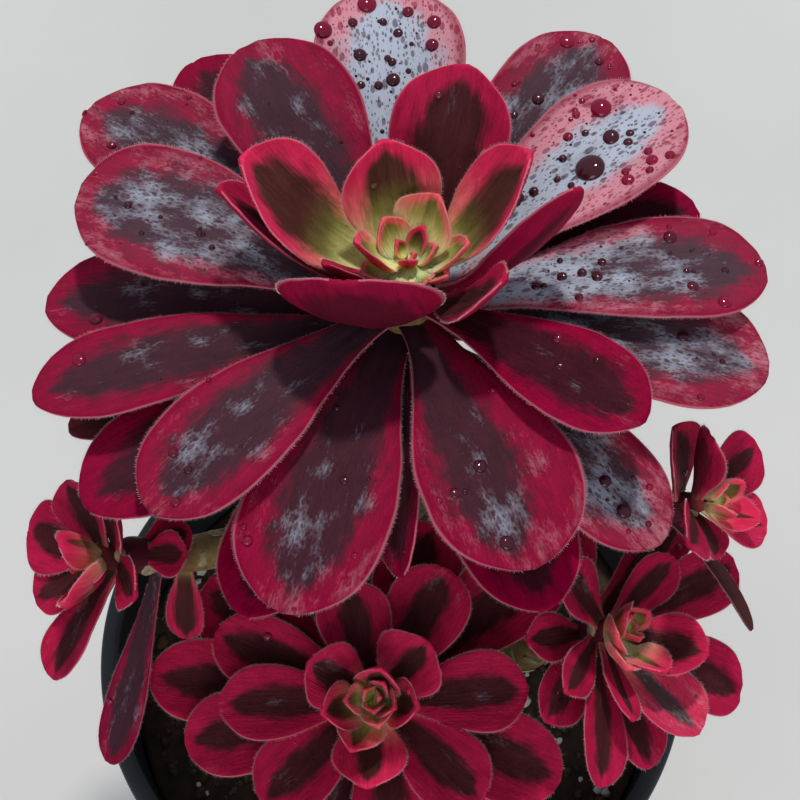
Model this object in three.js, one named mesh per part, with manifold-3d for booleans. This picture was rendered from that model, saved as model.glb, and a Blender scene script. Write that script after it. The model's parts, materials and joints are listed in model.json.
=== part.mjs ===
// Potted aeonium: a large dark rosette on a woody stem, with four side heads, in a black nursery pot.
// Millimetres, +Z up, origin on the floor under the middle of the pot; the front of the plant is -Y.

import * as THREE from 'three';
import { mergeVertices } from 'three/addons/utils/BufferGeometryUtils.js';
import Module from 'manifold-3d';

const wasm = await Module();
wasm.setup();

const GAP = 0.3;                 // clearance between two pieces that touch on the real plant
const GOLDEN_ANGLE = 137.508;    // turn from one leaf to the next on the same stem, degrees

// Pot
const POT_HEIGHT = 130;
const RIM_RADIUS = 78;
const RIM_DEPTH = 14;            // height of the collar under the rim
const COLLAR_STEP = 3;           // how far the collar stands out from the wall
const BASE_RADIUS = 56;
const WALL = 2;
const POT_ROUNDING = 1.5;        // of the rim and of the base's edge
const FLOOR = 2.5;
const DRAIN_HOLES = 6;
const DRAIN_RADIUS = 5;
const DRAIN_CIRCLE = 38;

// Soil
const SOIL_TOP = 106;            // mean height of the surface, 24 mm below the rim
const SOIL_RISE = 2.4;           // how far its lumps stand up or sink

// Sides round a piece and rows along it
const ROUND_SIDES = 40;
const TRUNK_SIDES = 10;
const TRUNK_ROWS = 18;
const BRANCH_SIDES = 8;
const BRANCH_ROWS = 12;
const BLADE = { ring: 8, rows: 9 };
const SMALL_BLADE = { ring: 6, rows: 7 };
const BUD_BLADE = { ring: 6, rows: 5 };

// Leaf blade
const LEAF_FOOT = 0.26;          // width at the foot, as a share of the full width
const LEAF_PEAK = 0.74;          // where along the leaf it is widest
const LEAF_SWELL = 2.2;          // how late the leaf widens
const LEAF_CLOSING = 2.3;        // how full its rounded end is
const ROW_CROWDING = 1.5;        // how much closer the rows stand towards the tip
const EDGE_ROUNDING = 0.6;       // how full the cross section is
const FOOT_THICKNESS = 1.25;     // thickness at the foot and at the tip, as shares of the mean
const TIP_THICKNESS = 0.65;
const LEAF_THICKNESS = 2.4;
const SMALL_LEAF_THICKNESS = 1.8;
const BUD_CUP = 45;
const BUD_ROOT = 0.5;            // where a small leaf's foot starts, inside its head's core
const LEAF_ROOT = 6;             // where a leaf's foot starts, measured from the middle of the trunk

// Stems
const TRUNK_RADIUS = 8;
const BRANCH_RADIUS = 4.5;
const BRANCH_SWELL = 1.25;       // a branch's radius where it leaves the trunk, as a share of the full radius
const NECK_OVERLAP = 8;          // how far before a head's core its branch already points along it
const NECK_FOOT = 0.85;          // core's radius where the branch ends, as a share of the full radius
const NECK_RADIUS = 4.6;         // core of a side head, which its leaves grow from
const TRUNK_FOOT = 1.1;          // trunk's radius at the soil, as a share of the full radius
const TRUNK_NECK = 0.95;         // and where it starts to close, below the youngest leaves
const TRUNK_CLOSING = 0.94;      // where along the trunk that is
const TRUNK_TIP_RADIUS = 3.5;
const TRUNK = [[4, 6, 78], [4, 9, 106], [3, 22, 150], [3, 34, 190], [3.5, 37, 214], [3.5, 37, 245.6]];

const COLOUR = {
  pot: 0x24272e,
  soil: 0x3a2d24,
  stem: 0x7a6a45,
  leaf: 0x8c1136,
  heart: 0xb6c468,
  young: 0xd3405f,
  dry: 0x6e5a50,
};

// The rosette's own leaves, youngest first. Heights are measured from the heart, in mm.
// azimuth in degrees from +X, reach from the stem's axis to the tip, width at the widest,
// arch: how far the middle stands above the straight line from foot to tip (below it if negative),
// cup: how much its edges turn up, roll: its turn about its own length, both in degrees.
const ROSETTE_HEART = [3.5, 37, 250];
const INNER_LEAVES = 8;          // the youngest leaves stand up, and the rest spread
const INNER_CUP = 30;
const OUTER_CUP = 16;
const THIN_TRUNK_DEPTH = 9;      // leaves that grow higher than this start nearer the middle
const ROSETTE_LEAVES = [
  { azimuth: 107, reach: 17, tip: 17, foot: -6, width: 23, arch: -4, cup: 34 },
  { azimuth: 16, reach: 25.5, tip: 24, foot: -6.5, width: 20, arch: -6, cup: 40 },
  { azimuth: -120, reach: 25, tip: 19, foot: -10, width: 36, arch: -10, roll: 24, cup: 24 },
  { azimuth: -41, reach: 25.5, tip: 14, foot: -9.7, width: 14.5, arch: -6, roll: 12, cup: 25 },
  { azimuth: 166, reach: 34.5, tip: 21, foot: -10.5, width: 27, arch: -4, cup: 42 },
  { azimuth: 70, reach: 38, tip: 19, foot: -10, width: 28, arch: -3 },
  { azimuth: -1, reach: 34, tip: 22, foot: -11.6, width: 14.5, arch: -8.8, roll: -64, cup: 20 },
  { azimuth: 171, reach: 39, tip: 14, foot: -16, width: 17, arch: -4, roll: 22, cup: 30 },
  { azimuth: -38, reach: 60.5, tip: -5.5, foot: -13.5, width: 24, arch: 1.8 },
  { azimuth: 125, reach: 62, tip: 10, foot: -13.5, width: 33, arch: 1 },
  { azimuth: -134.5, reach: 74, tip: -15, foot: -15.2, width: 27, arch: 4 },
  { azimuth: -69, reach: 70, tip: -15, foot: -17, width: 34, arch: 4 },
  { azimuth: 33, reach: 71, tip: 5, foot: -16.2, width: 32, arch: 3 },
  { azimuth: 166, reach: 74, tip: -2, foot: -19.4, width: 32, arch: 5, roll: -12 },
  { azimuth: 94, reach: 73, tip: 7, foot: -19.5, width: 36, arch: 2 },
  { azimuth: 0.5, reach: 77.5, tip: -7.5, foot: -19.5, width: 27.5, arch: 5.8, roll: 2 },
  { azimuth: -109, reach: 76, tip: -22, foot: -20.5, width: 32, arch: 5 },
  { azimuth: 54, reach: 78, tip: 0, foot: -24, width: 31, arch: 4 },
  { azimuth: -161.5, reach: 83, tip: -15, foot: -22.9, width: 23, arch: 4 },
  { azimuth: 147, reach: 87, tip: -6, foot: -25.3, width: 32, arch: 5 },
  { azimuth: -16, reach: 79, tip: -12.5, foot: -24, width: 31, arch: 5 },
  { azimuth: 179.5, reach: 80, tip: -19, foot: -28.2, width: 27, arch: 5 },
  { azimuth: 19, reach: 69, tip: -12, foot: -28, width: 26, arch: 4 },
  { azimuth: 128, reach: 83, tip: -10, foot: -30.4, width: 30, arch: 4 },
  { azimuth: -145, reach: 82, tip: -24, foot: -31.8, width: 27, arch: 5 },
  { azimuth: -45, reach: 75, tip: -29, foot: -27, width: 26, arch: 5 },
  { azimuth: -91, reach: 62, tip: -26, foot: -29, width: 18, arch: 4, roll: 60 },
  { azimuth: 82, reach: 66, tip: -18, foot: -33.8, width: 26, arch: 4 },
  { azimuth: -66, reach: 72, tip: -34, foot: -34, width: 27, arch: 4 },
  { azimuth: -118, reach: 74, tip: -38, foot: -35, width: 25, arch: 4 },
  { azimuth: -160, reach: 78, tip: -28, foot: -37.5, width: 18, arch: 4, cup: 35 },
];

// The young leaves in the rosette's heart, grown together: some small buds, then the larger ones.
const HEART_BUDS = { count: 4, reach: [1.5, 5.5], tip: [0.5, 4], width: [3, 6] };
const HEART_LEAVES = [
  { azimuth: 50, reach: 10, tip: 10.2, foot: -2.6, width: 17, arch: -3.2, cup: 45 },
  { azimuth: 135, reach: 7, tip: 6, foot: -2.5, width: 10.5, arch: -2.5, cup: 45 },
  { azimuth: 204, reach: 11.5, tip: 10.5, foot: -2.6, width: 11, arch: -3.2, cup: 45 },
  { azimuth: 0, reach: 6, tip: 3, foot: -2, width: 6, arch: -2, cup: 50 },
  { azimuth: -14, reach: 13, tip: 8, foot: -2.6, width: 10, arch: -4, cup: 50 },
  { azimuth: -153, reach: 19, tip: 8, foot: -2.5, width: 10, arch: -6, roll: 25, cup: 40 },
  { azimuth: -70, reach: 9.5, tip: 1.5, foot: -2.4, width: 9, arch: -1.5, cup: 40 },
  { azimuth: -112, reach: 10, tip: 1, foot: -2.4, width: 9, arch: -1.5, cup: 40 },
  { azimuth: -143, reach: 11.5, tip: 2.5, foot: -2.4, width: 8, arch: -2, cup: 40 },
  { azimuth: -42, reach: 11, tip: 2.5, foot: -2.4, width: 8, arch: -2, cup: 40 },
];

// Side heads: place of the heart, the way and the angle that the head leans, the depth of its core,
// its leaves in the head's own upright frame (as above, with the foot on the core) and its branch.
const SIDE_HEADS = {
  front: {
    heart: [-4, -34, 176], heading: -95, lean: 20, depth: 26,
    buds: { count: 4, reach: [1.5, 4], tip: [6, 8], width: [4, 6] },
    leaves: [
      { azimuth: -175, reach: 6, tip: 9, foot: -3, width: 8, arch: -2, cup: 45 },
      { azimuth: -78, reach: 6.5, tip: 8, foot: -3, width: 8, arch: -2, cup: 45 },
      { azimuth: -25, reach: 5.5, tip: 9, foot: -3, width: 8, arch: -2, cup: 45 },
      { azimuth: 72, reach: 6.5, tip: 11, foot: -4, width: 12, arch: -4, cup: 45 },
      { azimuth: -12, reach: 10.5, tip: 10, foot: -4, width: 13, arch: -4, cup: 45 },
      { azimuth: -163, reach: 11.3, tip: 10, foot: -4, width: 13, arch: -4, cup: 45 },
      { azimuth: -112, reach: 12.3, tip: 9, foot: -4, width: 12, arch: -4, cup: 40 },
      { azimuth: 152, reach: 16.5, tip: 6, foot: -6, width: 17, arch: -2 },
      { azimuth: 43, reach: 17.5, tip: 6, foot: -6, width: 19, arch: -2 },
      { azimuth: -94, reach: 19.5, tip: 5.5, foot: -6, width: 18, arch: -3 },
      { azimuth: -178, reach: 35, tip: 2, foot: -10, width: 18.3, arch: 0 },
      { azimuth: 3, reach: 35, tip: 0, foot: -10, width: 19.5, arch: 1 },
      { azimuth: 104, reach: 27, tip: -2, foot: -10, width: 18.3, arch: 1 },
      { azimuth: -43, reach: 33, tip: 0, foot: -11, width: 19.5, arch: 1 },
      { azimuth: -138, reach: 34, tip: 0, foot: -12, width: 19.5, arch: 1 },
      { azimuth: 59, reach: 34, tip: -4, foot: -13, width: 20.7, arch: 2 },
      { azimuth: 158, reach: 40, tip: -4, foot: -14, width: 18.3, arch: 2 },
      { azimuth: -24, reach: 46, tip: -4, foot: -15, width: 22, arch: 2 },
      { azimuth: -81, reach: 37, tip: -6, foot: -15, width: 20.7, arch: 2 },
      { azimuth: -167, reach: 45, tip: -6, foot: -17, width: 20.7, arch: 3 },
      { azimuth: -108, reach: 41, tip: -8, foot: -18, width: 20.7, arch: 3 },
      { azimuth: -54, reach: 45, tip: -10, foot: -19, width: 20.7, arch: 3 },
      { azimuth: 174, reach: 54, tip: -12, foot: -20, width: 20.7, arch: 4 },
      { azimuth: 38, reach: 56, tip: -12, foot: -21, width: 23.2, arch: 4 },
      { azimuth: 148, reach: 50, tip: -16, foot: -22, width: 23.2, arch: 4 },
      { azimuth: 72, reach: 44, tip: -16, foot: -23, width: 22, arch: 3 },
    ],
    branch: [[3, 10, 118], [0, -6, 124], [-3, -18, 136]],
  },
  right: {
    heart: [53, -24, 194], heading: -25, lean: 35, depth: 24,
    buds: { count: 4, reach: [1.5, 4], tip: [1, 4], width: [4, 7] },
    leaves: [
      { azimuth: 165, reach: 5.5, tip: 6, foot: -3, width: 9, arch: -2, cup: 45 },
      { azimuth: -150, reach: 9.5, tip: 6.5, foot: -4, width: 10, arch: -3, cup: 45 },
      { azimuth: -115, reach: 11.5, tip: 6, foot: -4, width: 11, arch: -3, cup: 45 },
      { azimuth: -66, reach: 11, tip: 7.5, foot: -4, width: 12, arch: -4, cup: 40 },
      { azimuth: -20, reach: 15, tip: 10, foot: -5, width: 16.1, arch: -3 },
      { azimuth: 54, reach: 21.5, tip: 0, foot: -8, width: 12, arch: -1 },
      { azimuth: -50, reach: 28, tip: 3, foot: -8, width: 18.4, arch: -2, cup: 40 },
      { azimuth: 148, reach: 20, tip: -2, foot: -9, width: 14, arch: 0 },
      { azimuth: -94, reach: 21, tip: 4, foot: -10, width: 8, arch: -1 },
      { azimuth: 31, reach: 37, tip: 0, foot: -11, width: 16.1, arch: 1 },
      { azimuth: -133, reach: 22, tip: -2, foot: -11, width: 10.3, arch: 0 },
      { azimuth: -14, reach: 40, tip: -6, foot: -13, width: 18.4, arch: 2 },
      { azimuth: -96, reach: 35, tip: -4, foot: -14, width: 12.6, arch: 2 },
      { azimuth: 56, reach: 40, tip: -8, foot: -17, width: 15.5, arch: 2 },
      { azimuth: -166, reach: 22, tip: -8, foot: -15, width: 11.5, arch: 1 },
      { azimuth: -65, reach: 32, tip: -8, foot: -17, width: 14.9, arch: 2 },
      { azimuth: -121, reach: 25, tip: -12, foot: -18, width: 13.8, arch: 2 },
      { azimuth: 110, reach: 28, tip: -14, foot: -19, width: 13.8, arch: 2 },
    ],
    branch: [[5, 12, 122], [20, 2, 130], [33, -11, 148]],
  },
  far: {
    heart: [71, -3.5, 215.5], heading: -15, lean: 50, depth: 14,
    buds: { count: 4, reach: [2, 5], tip: [2, 5], width: [4, 7] },
    leaves: [
      { azimuth: -14, reach: 10, tip: 5, foot: -3, width: 10, arch: -3, cup: 40 },
      { azimuth: 53, reach: 19.5, tip: 3, foot: -4, width: 16, arch: -1 },
      { azimuth: -3, reach: 19.5, tip: 1, foot: -5, width: 14, arch: -1 },
      { azimuth: 143, reach: 16, tip: 6, foot: -5, width: 14, arch: 0, roll: 45 },
      { azimuth: -132, reach: 18, tip: 1, foot: -8, width: 14, arch: 1 },
      { azimuth: -66, reach: 12.5, tip: -3, foot: -8, width: 12, arch: 1 },
      { azimuth: 137, reach: 18.5, tip: -2, foot: -10, width: 17, arch: 1 },
    ],
    branch: [[4, 17, 142], [24, 17, 158], [44, 10, 184]],
  },
  left: {
    heart: [-67.5, -15, 211], heading: 205, lean: 50, depth: 20,
    buds: { count: 4, reach: [1.5, 4], tip: [0, 3], width: [4, 7] },
    leaves: [
      { azimuth: 20, reach: 6, tip: 8.5, foot: -4, width: 11, arch: -3, cup: 50 },
      { azimuth: -62, reach: 12.5, tip: 8.5, foot: -4, width: 13, arch: -4, cup: 50 },
      { azimuth: -85, reach: 11, tip: 5, foot: -5, width: 13, arch: -3 },
      { azimuth: 92, reach: 16.5, tip: 1, foot: -7, width: 16.6, arch: -1 },
      { azimuth: 151, reach: 19, tip: 1, foot: -8, width: 17.9, arch: 0 },
      { azimuth: -161, reach: 19, tip: 0, foot: -9, width: 14.1, arch: 0 },
      { azimuth: -40, reach: 17, tip: -4, foot: -10, width: 12, arch: 0 },
      { azimuth: 40, reach: 17, tip: 0, foot: -10, width: 15.4, arch: 0 },
      { azimuth: -120, reach: 28, tip: 0, foot: -12, width: 15, arch: 1 },
      { azimuth: 25, reach: 9, tip: -24, foot: -14, width: 12, arch: 0 },
      { azimuth: -8, reach: 11, tip: -20, foot: -15, width: 11, arch: 0 },
    ],
    branch: [[3, 22, 150], [-12, 14, 164], [-32, 3, 182]],
  },
};

// Single leaves that hang from a branch: the place of the foot, and the shape as above.
const LOOSE_LEAVES = {
  hanging_leaf_long: {
    branch: 'left',
    at: [-53, -7.5, 194.5],
    colour: 'leaf',
    shape: { azimuth: -115, reach: 36, tip: -45, width: 11, arch: -3 },
  },
  hanging_leaf_short: {
    branch: 'left',
    at: [-47.5, -5, 190.5],
    colour: 'young',
    shape: { azimuth: -97, reach: 12, tip: -19, width: 9.5, arch: 2 },
  },
  hanging_leaf_dry: {
    branch: 'far',
    at: [61, 0, 202],
    colour: 'dry',
    shape: { azimuth: -44, reach: 30, tip: -17, width: 4.5, arch: 5, cup: 75 },
  },
};

const radians = THREE.MathUtils.degToRad;
const lerp = THREE.MathUtils.lerp;

function vector(point) {
  return new THREE.Vector3(...point);
}

// Width of a leaf along its length, 0 at the foot and 1 at the tip, as a share of the full width:
// a narrow foot, a long swell and a rounded end.
function leafWidth(along) {
  if (along < LEAF_PEAK) {
    return LEAF_FOOT + (1 - LEAF_FOOT) * Math.sin((Math.PI / 2) * (along / LEAF_PEAK)) ** LEAF_SWELL;
  }
  return Math.sqrt(Math.max(0, 1 - ((along - LEAF_PEAK) / (1 - LEAF_PEAK)) ** LEAF_CLOSING));
}

// One leaf along +X from its foot on the stem, with its upper face up: a sphere's rows become cross
// sections along a curved spine, each a shallow trough that is thick in the middle and at the foot.
function leafGeometry(leaf, root, thickness, { ring, rows }) {
  const foot = new THREE.Vector3(root, 0, leaf.foot);
  const tip = new THREE.Vector3(leaf.reach, 0, leaf.tip);
  const middle = foot.clone().lerp(tip, 0.5);
  middle.z += 2 * leaf.arch;
  const spine = new THREE.QuadraticBezierCurve3(foot, middle, tip);
  const roll = radians(leaf.roll ?? 0);
  const cup = radians(leaf.cup ?? INNER_CUP);

  const geometry = new THREE.SphereGeometry(1, ring, rows);
  const { position, uv } = geometry.attributes;
  const point = new THREE.Vector3();
  const across = new THREE.Vector3();
  const up = new THREE.Vector3();
  for (let i = 0; i < position.count; i++) {
    const row = THREE.MathUtils.clamp((uv.getY(i) * rows - 1) / (rows - 1), 0, 1);
    const along = 1 - (1 - row) ** ROW_CROWDING;
    const onPole = uv.getY(i) === 0 || uv.getY(i) === 1;
    const around = 2 * Math.PI * (uv.getX(i) + 0.5 / ring);
    const forward = spine.getTangent(along);
    across.set(0, 1, 0).addScaledVector(forward, -forward.y).normalize().applyAxisAngle(forward, roll);
    up.crossVectors(forward, across);
    const side = onPole ? 0 : Math.cos(around) / Math.cos(Math.PI / ring);
    const lift = onPole ? 0 : Math.sign(Math.sin(around)) * Math.abs(Math.sin(around)) ** EDGE_ROUNDING;
    const halfWidth = (leaf.width / 2) * leafWidth(along);
    const halfThickness = (thickness / 2) * lerp(FOOT_THICKNESS, TIP_THICKNESS, along);
    point.copy(spine.getPoint(along));
    point.addScaledVector(across, (halfWidth * Math.sin(cup * side)) / cup);
    point.addScaledVector(up, (halfWidth * (1 - Math.cos(cup * side))) / cup + halfThickness * lift);
    position.setXYZ(i, point.x, point.y, point.z);
  }
  return closed(geometry);
}

// A stem along a smooth curve through the points, its radius given along its length from 0 to 1.
function stemGeometry(points, radiusAt, sides, rows) {
  const curve = new THREE.CatmullRomCurve3(points.map(vector), false, 'centripetal');
  const frames = curve.computeFrenetFrames(rows, false);
  const geometry = new THREE.CylinderGeometry(1, 1, 1, sides, rows);
  const { position } = geometry.attributes;
  const point = new THREE.Vector3();
  for (let i = 0; i < position.count; i++) {
    const along = 0.5 - position.getY(i);
    const row = Math.round(along * rows);
    const radius = radiusAt(along);
    point.copy(curve.getPointAt(along));
    point.addScaledVector(frames.normals[row], radius * position.getX(i));
    point.addScaledVector(frames.binormals[row], -radius * position.getZ(i));
    position.setXYZ(i, point.x, point.y, point.z);
  }
  const solid = closed(geometry);
  return turnOutward(solid);
}

// A closed mesh with its shared corners merged, as joining and cutting need it.
function closed(geometry) {
  geometry.deleteAttribute('normal');
  geometry.deleteAttribute('uv');
  return mergeVertices(geometry, 1e-4);
}

function turnOutward(geometry) {
  const { position } = geometry.attributes;
  const { index } = geometry;
  const [a, b, c] = [new THREE.Vector3(), new THREE.Vector3(), new THREE.Vector3()];
  let volume = 0;
  for (let i = 0; i < index.count; i += 3) {
    a.fromBufferAttribute(position, index.getX(i));
    b.fromBufferAttribute(position, index.getX(i + 1));
    c.fromBufferAttribute(position, index.getX(i + 2));
    volume += a.dot(b.cross(c)) / 6;
  }
  if (volume < 0) {
    for (let i = 0; i < index.count; i += 3) {
      const second = index.getX(i + 1);
      index.setX(i + 1, index.getX(i + 2));
      index.setX(i + 2, second);
    }
  }
  return geometry;
}

function solidOf(geometry) {
  return new wasm.Manifold(new wasm.Mesh({
    numProp: 3,
    vertProperties: new Float32Array(geometry.attributes.position.array),
    triVerts: new Uint32Array(geometry.index.array),
  }));
}

function geometryOf(solid) {
  const mesh = solid.getMesh();
  const geometry = new THREE.BufferGeometry();
  geometry.setAttribute('position', new THREE.BufferAttribute(new Float32Array(mesh.vertProperties), 3));
  geometry.setIndex(new THREE.BufferAttribute(new Uint32Array(mesh.triVerts), 1));
  return geometry;
}

// The biggest body of a solid, without any loose scrap.
function largest(solid) {
  return solid.decompose().reduce((best, body) => (body.volume() > best.volume() ? body : best));
}

function fuse(geometries) {
  const solids = geometries.map(solidOf);
  return geometryOf(largest(solids.reduce((sum, solid) => sum.add(solid))));
}

function piece(name, geometry, colour, roughness) {
  const material = new THREE.MeshStandardMaterial({ color: colour, roughness, metalness: 0 });
  const mesh = new THREE.Mesh(geometry, material);
  mesh.name = name;
  return mesh;
}

// Radius of the pot's outer wall at a height, without the collar.
function wallRadius(height) {
  return lerp(BASE_RADIUS, RIM_RADIUS - COLLAR_STEP, height / (POT_HEIGHT - RIM_DEPTH));
}

function pot() {
  const shoulder = POT_HEIGHT - RIM_DEPTH;
  const outline = [
    [0, 0],
    [BASE_RADIUS - POT_ROUNDING, 0],
    [BASE_RADIUS, POT_ROUNDING],
    [RIM_RADIUS - COLLAR_STEP, shoulder],
    [RIM_RADIUS - 0.6, shoulder + 0.6],
    [RIM_RADIUS, POT_HEIGHT - POT_ROUNDING],
    [RIM_RADIUS - POT_ROUNDING, POT_HEIGHT],
    [RIM_RADIUS - 4, POT_HEIGHT],
    [RIM_RADIUS - 5, POT_HEIGHT - POT_ROUNDING],
    [RIM_RADIUS - COLLAR_STEP - WALL, shoulder - 2],
    [wallRadius(FLOOR) - WALL, FLOOR],
    [0, FLOOR],
  ];
  const shell = new THREE.LatheGeometry(outline.map(([x, y]) => new THREE.Vector2(x, y)), ROUND_SIDES);
  shell.rotateX(Math.PI / 2);
  const holes = [];
  for (let i = 0; i < DRAIN_HOLES; i++) {
    const hole = new THREE.CylinderGeometry(DRAIN_RADIUS, DRAIN_RADIUS, 3 * FLOOR, 12);
    hole.rotateX(Math.PI / 2);
    const angle = (2 * Math.PI * i) / DRAIN_HOLES;
    hole.translate(DRAIN_CIRCLE * Math.cos(angle), DRAIN_CIRCLE * Math.sin(angle), FLOOR / 2);
    holes.push(closed(hole));
  }
  const body = solidOf(turnOutward(closed(shell)));
  return geometryOf(holes.reduce((left, hole) => left.subtract(solidOf(hole)), body));
}

// Lumps of the soil's surface: a sum of a few waves, flat at the wall.
function soilHeight(x, y) {
  const broad = Math.sin(x / 9 + 1) * Math.cos(y / 11);
  const slanted = Math.sin(x / 5 - y / 6);
  const fine = Math.cos(y / 4 + x / 13);
  return SOIL_TOP + (SOIL_RISE / 2) * (broad + 0.6 * slanted + 0.5 * fine);
}

function soil(trunk) {
  const bottom = FLOOR + GAP;
  const rings = [0, 0.25, 0.5, 0.75, 1];
  const edge = wallRadius(SOIL_TOP) - WALL - GAP;
  const profile = [[0, bottom], [wallRadius(bottom) - WALL - GAP, bottom]];
  for (const ring of rings.toReversed()) {
    profile.push([ring * edge, SOIL_TOP]);
  }
  const body = new THREE.LatheGeometry(profile.map(([x, y]) => new THREE.Vector2(x, y)), ROUND_SIDES);
  body.rotateX(Math.PI / 2);
  const { position } = body.attributes;
  for (let i = 0; i < position.count; i++) {
    const x = position.getX(i);
    const y = position.getY(i);
    const inside = position.getZ(i) > SOIL_TOP - 1 && Math.hypot(x, y) < edge - 1;
    if (inside) {
      position.setZ(i, soilHeight(x, y));
    }
  }
  return geometryOf(solidOf(turnOutward(closed(body))).subtract(solidOf(trunk)));
}

// Where a side head stands and how it leans.
function headMatrix(head) {
  const heading = radians(head.heading);
  const turn = new THREE.Matrix4().makeRotationZ(heading);
  turn.multiply(new THREE.Matrix4().makeRotationY(radians(head.lean)));
  turn.multiply(new THREE.Matrix4().makeRotationZ(-heading));
  return new THREE.Matrix4().makeTranslation(vector(head.heart)).multiply(turn);
}

function budLeaves(buds) {
  const leaves = [];
  for (let i = 0; i < buds.count; i++) {
    const age = i / (buds.count - 1);
    leaves.push({
      azimuth: i * GOLDEN_ANGLE,
      reach: lerp(...buds.reach, age),
      tip: lerp(...buds.tip, Math.sqrt(age)),
      foot: lerp(-1, -3, age),
      width: lerp(...buds.width, age),
      arch: lerp(-0.5, -2, age),
      cup: BUD_CUP,
    });
  }
  return leaves;
}

function tuftLeaves(leaves, detail) {
  return leaves.map((leaf) => {
    const blade = leafGeometry(leaf, BUD_ROOT, SMALL_LEAF_THICKNESS, detail);
    return blade.rotateZ(radians(leaf.azimuth));
  });
}

// A side head: its core with all its leaves grown together, in the head's own frame.
function headGeometry(head) {
  const core = new THREE.LatheGeometry([
    new THREE.Vector2(0, -head.depth),
    new THREE.Vector2(NECK_RADIUS * NECK_FOOT, -head.depth),
    new THREE.Vector2(NECK_RADIUS, -head.depth / 2),
    new THREE.Vector2(NECK_RADIUS * 0.6, 0),
    new THREE.Vector2(0, 2.5),
  ], 8);
  core.rotateX(Math.PI / 2);
  const parts = [turnOutward(closed(core))];
  parts.push(...tuftLeaves(budLeaves(head.buds), BUD_BLADE));
  parts.push(...tuftLeaves(head.leaves, SMALL_BLADE));
  return fuse(parts);
}

// A leaf's blade with its foot cut to sit round a stem, both in the frame that the leaf is turned in.
function seatedLeaf(blade, stem, origin, azimuth) {
  const seat = stem.clone().translate(...origin.map((value) => -value));
  seat.rotateZ(-radians(azimuth));
  return geometryOf(largest(solidOf(blade).subtract(solidOf(seat))));
}

function rosetteLeaf(leaf, trunkHole) {
  const root = leaf.foot > -THIN_TRUNK_DEPTH ? LEAF_ROOT / 2 : LEAF_ROOT;
  const blade = leafGeometry(leaf, root, LEAF_THICKNESS, BLADE);
  return seatedLeaf(blade, trunkHole, ROSETTE_HEART, leaf.azimuth);
}

function looseLeaf(leaf) {
  const blade = leafGeometry({ ...leaf.shape, foot: 0 }, 0, SMALL_LEAF_THICKNESS, BLADE);
  return seatedLeaf(blade, branchGeometry(SIDE_HEADS[leaf.branch], GAP), leaf.at, leaf.shape.azimuth);
}

function rosetteHeart() {
  const core = new THREE.LatheGeometry([
    new THREE.Vector2(0, -3.7),
    new THREE.Vector2(3, -3.7),
    new THREE.Vector2(3.4, -2.5),
    new THREE.Vector2(2.4, -1.5),
    new THREE.Vector2(0, -0.8),
  ], 10);
  core.rotateX(Math.PI / 2);
  const parts = [turnOutward(closed(core))];
  parts.push(...tuftLeaves([...budLeaves(HEART_BUDS), ...HEART_LEAVES], BUD_BLADE));
  return fuse(parts);
}

function trunkRadius(along) {
  if (along < TRUNK_CLOSING) {
    return TRUNK_RADIUS * lerp(TRUNK_FOOT, TRUNK_NECK, along);
  }
  return lerp(TRUNK_RADIUS * TRUNK_NECK, TRUNK_TIP_RADIUS, (along - TRUNK_CLOSING) / (1 - TRUNK_CLOSING));
}

function trunkGeometry(clearance = 0) {
  return stemGeometry(TRUNK, (along) => trunkRadius(along) + clearance, TRUNK_SIDES, TRUNK_ROWS);
}

// A branch runs from inside the trunk to the foot of its head's core and ends just short of it.
function branchGeometry(head, clearance = 0) {
  const matrix = headMatrix(head);
  const end = new THREE.Vector3(0, 0, -head.depth - GAP).applyMatrix4(matrix);
  const before = new THREE.Vector3(0, 0, -head.depth - NECK_OVERLAP).applyMatrix4(matrix);
  const points = [...head.branch, before.toArray(), end.toArray()];
  const radiusAt = (along) => clearance + lerp(BRANCH_RADIUS * BRANCH_SWELL, NECK_RADIUS * NECK_FOOT, along);
  return stemGeometry(points, radiusAt, BRANCH_SIDES, BRANCH_ROWS);
}

const plant = new THREE.Group();

const trunk = trunkGeometry();
const trunkHole = trunkGeometry(GAP);
plant.add(piece('pot', pot(), COLOUR.pot, 0.45));
plant.add(piece('soil', soil(trunkHole), COLOUR.soil, 0.95));
const branches = Object.values(SIDE_HEADS).map((head) => branchGeometry(head));
plant.add(piece('stems', fuse([trunk, ...branches]), COLOUR.stem, 0.8));

const rosette = new THREE.Group();
rosette.position.copy(vector(ROSETTE_HEART));
rosette.add(piece('rosette_heart', rosetteHeart(), COLOUR.heart, 0.5));
ROSETTE_LEAVES.forEach((leaf, i) => {
  const name = `rosette_leaf_${String(i + 1).padStart(2, '0')}`;
  const cup = i < INNER_LEAVES ? INNER_CUP : OUTER_CUP;
  const blade = piece(name, rosetteLeaf({ cup, ...leaf }, trunkHole), COLOUR.leaf, 0.45);
  blade.rotation.z = radians(leaf.azimuth);
  rosette.add(blade);
});
plant.add(rosette);

for (const [name, leaf] of Object.entries(LOOSE_LEAVES)) {
  const blade = piece(name, looseLeaf(leaf), COLOUR[leaf.colour], 0.6);
  blade.position.copy(vector(leaf.at));
  blade.rotation.z = radians(leaf.shape.azimuth);
  plant.add(blade);
}

for (const [side, head] of Object.entries(SIDE_HEADS)) {
  const tuft = piece(`side_head_${side}`, headGeometry(head), COLOUR.leaf, 0.45);
  tuft.applyMatrix4(headMatrix(head));
  plant.add(tuft);
}

export default plant;
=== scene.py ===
import json
import math
from collections import namedtuple

import bpy
import numpy as np
from mathutils import Matrix, Vector
from mathutils.bvhtree import BVHTree

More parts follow.
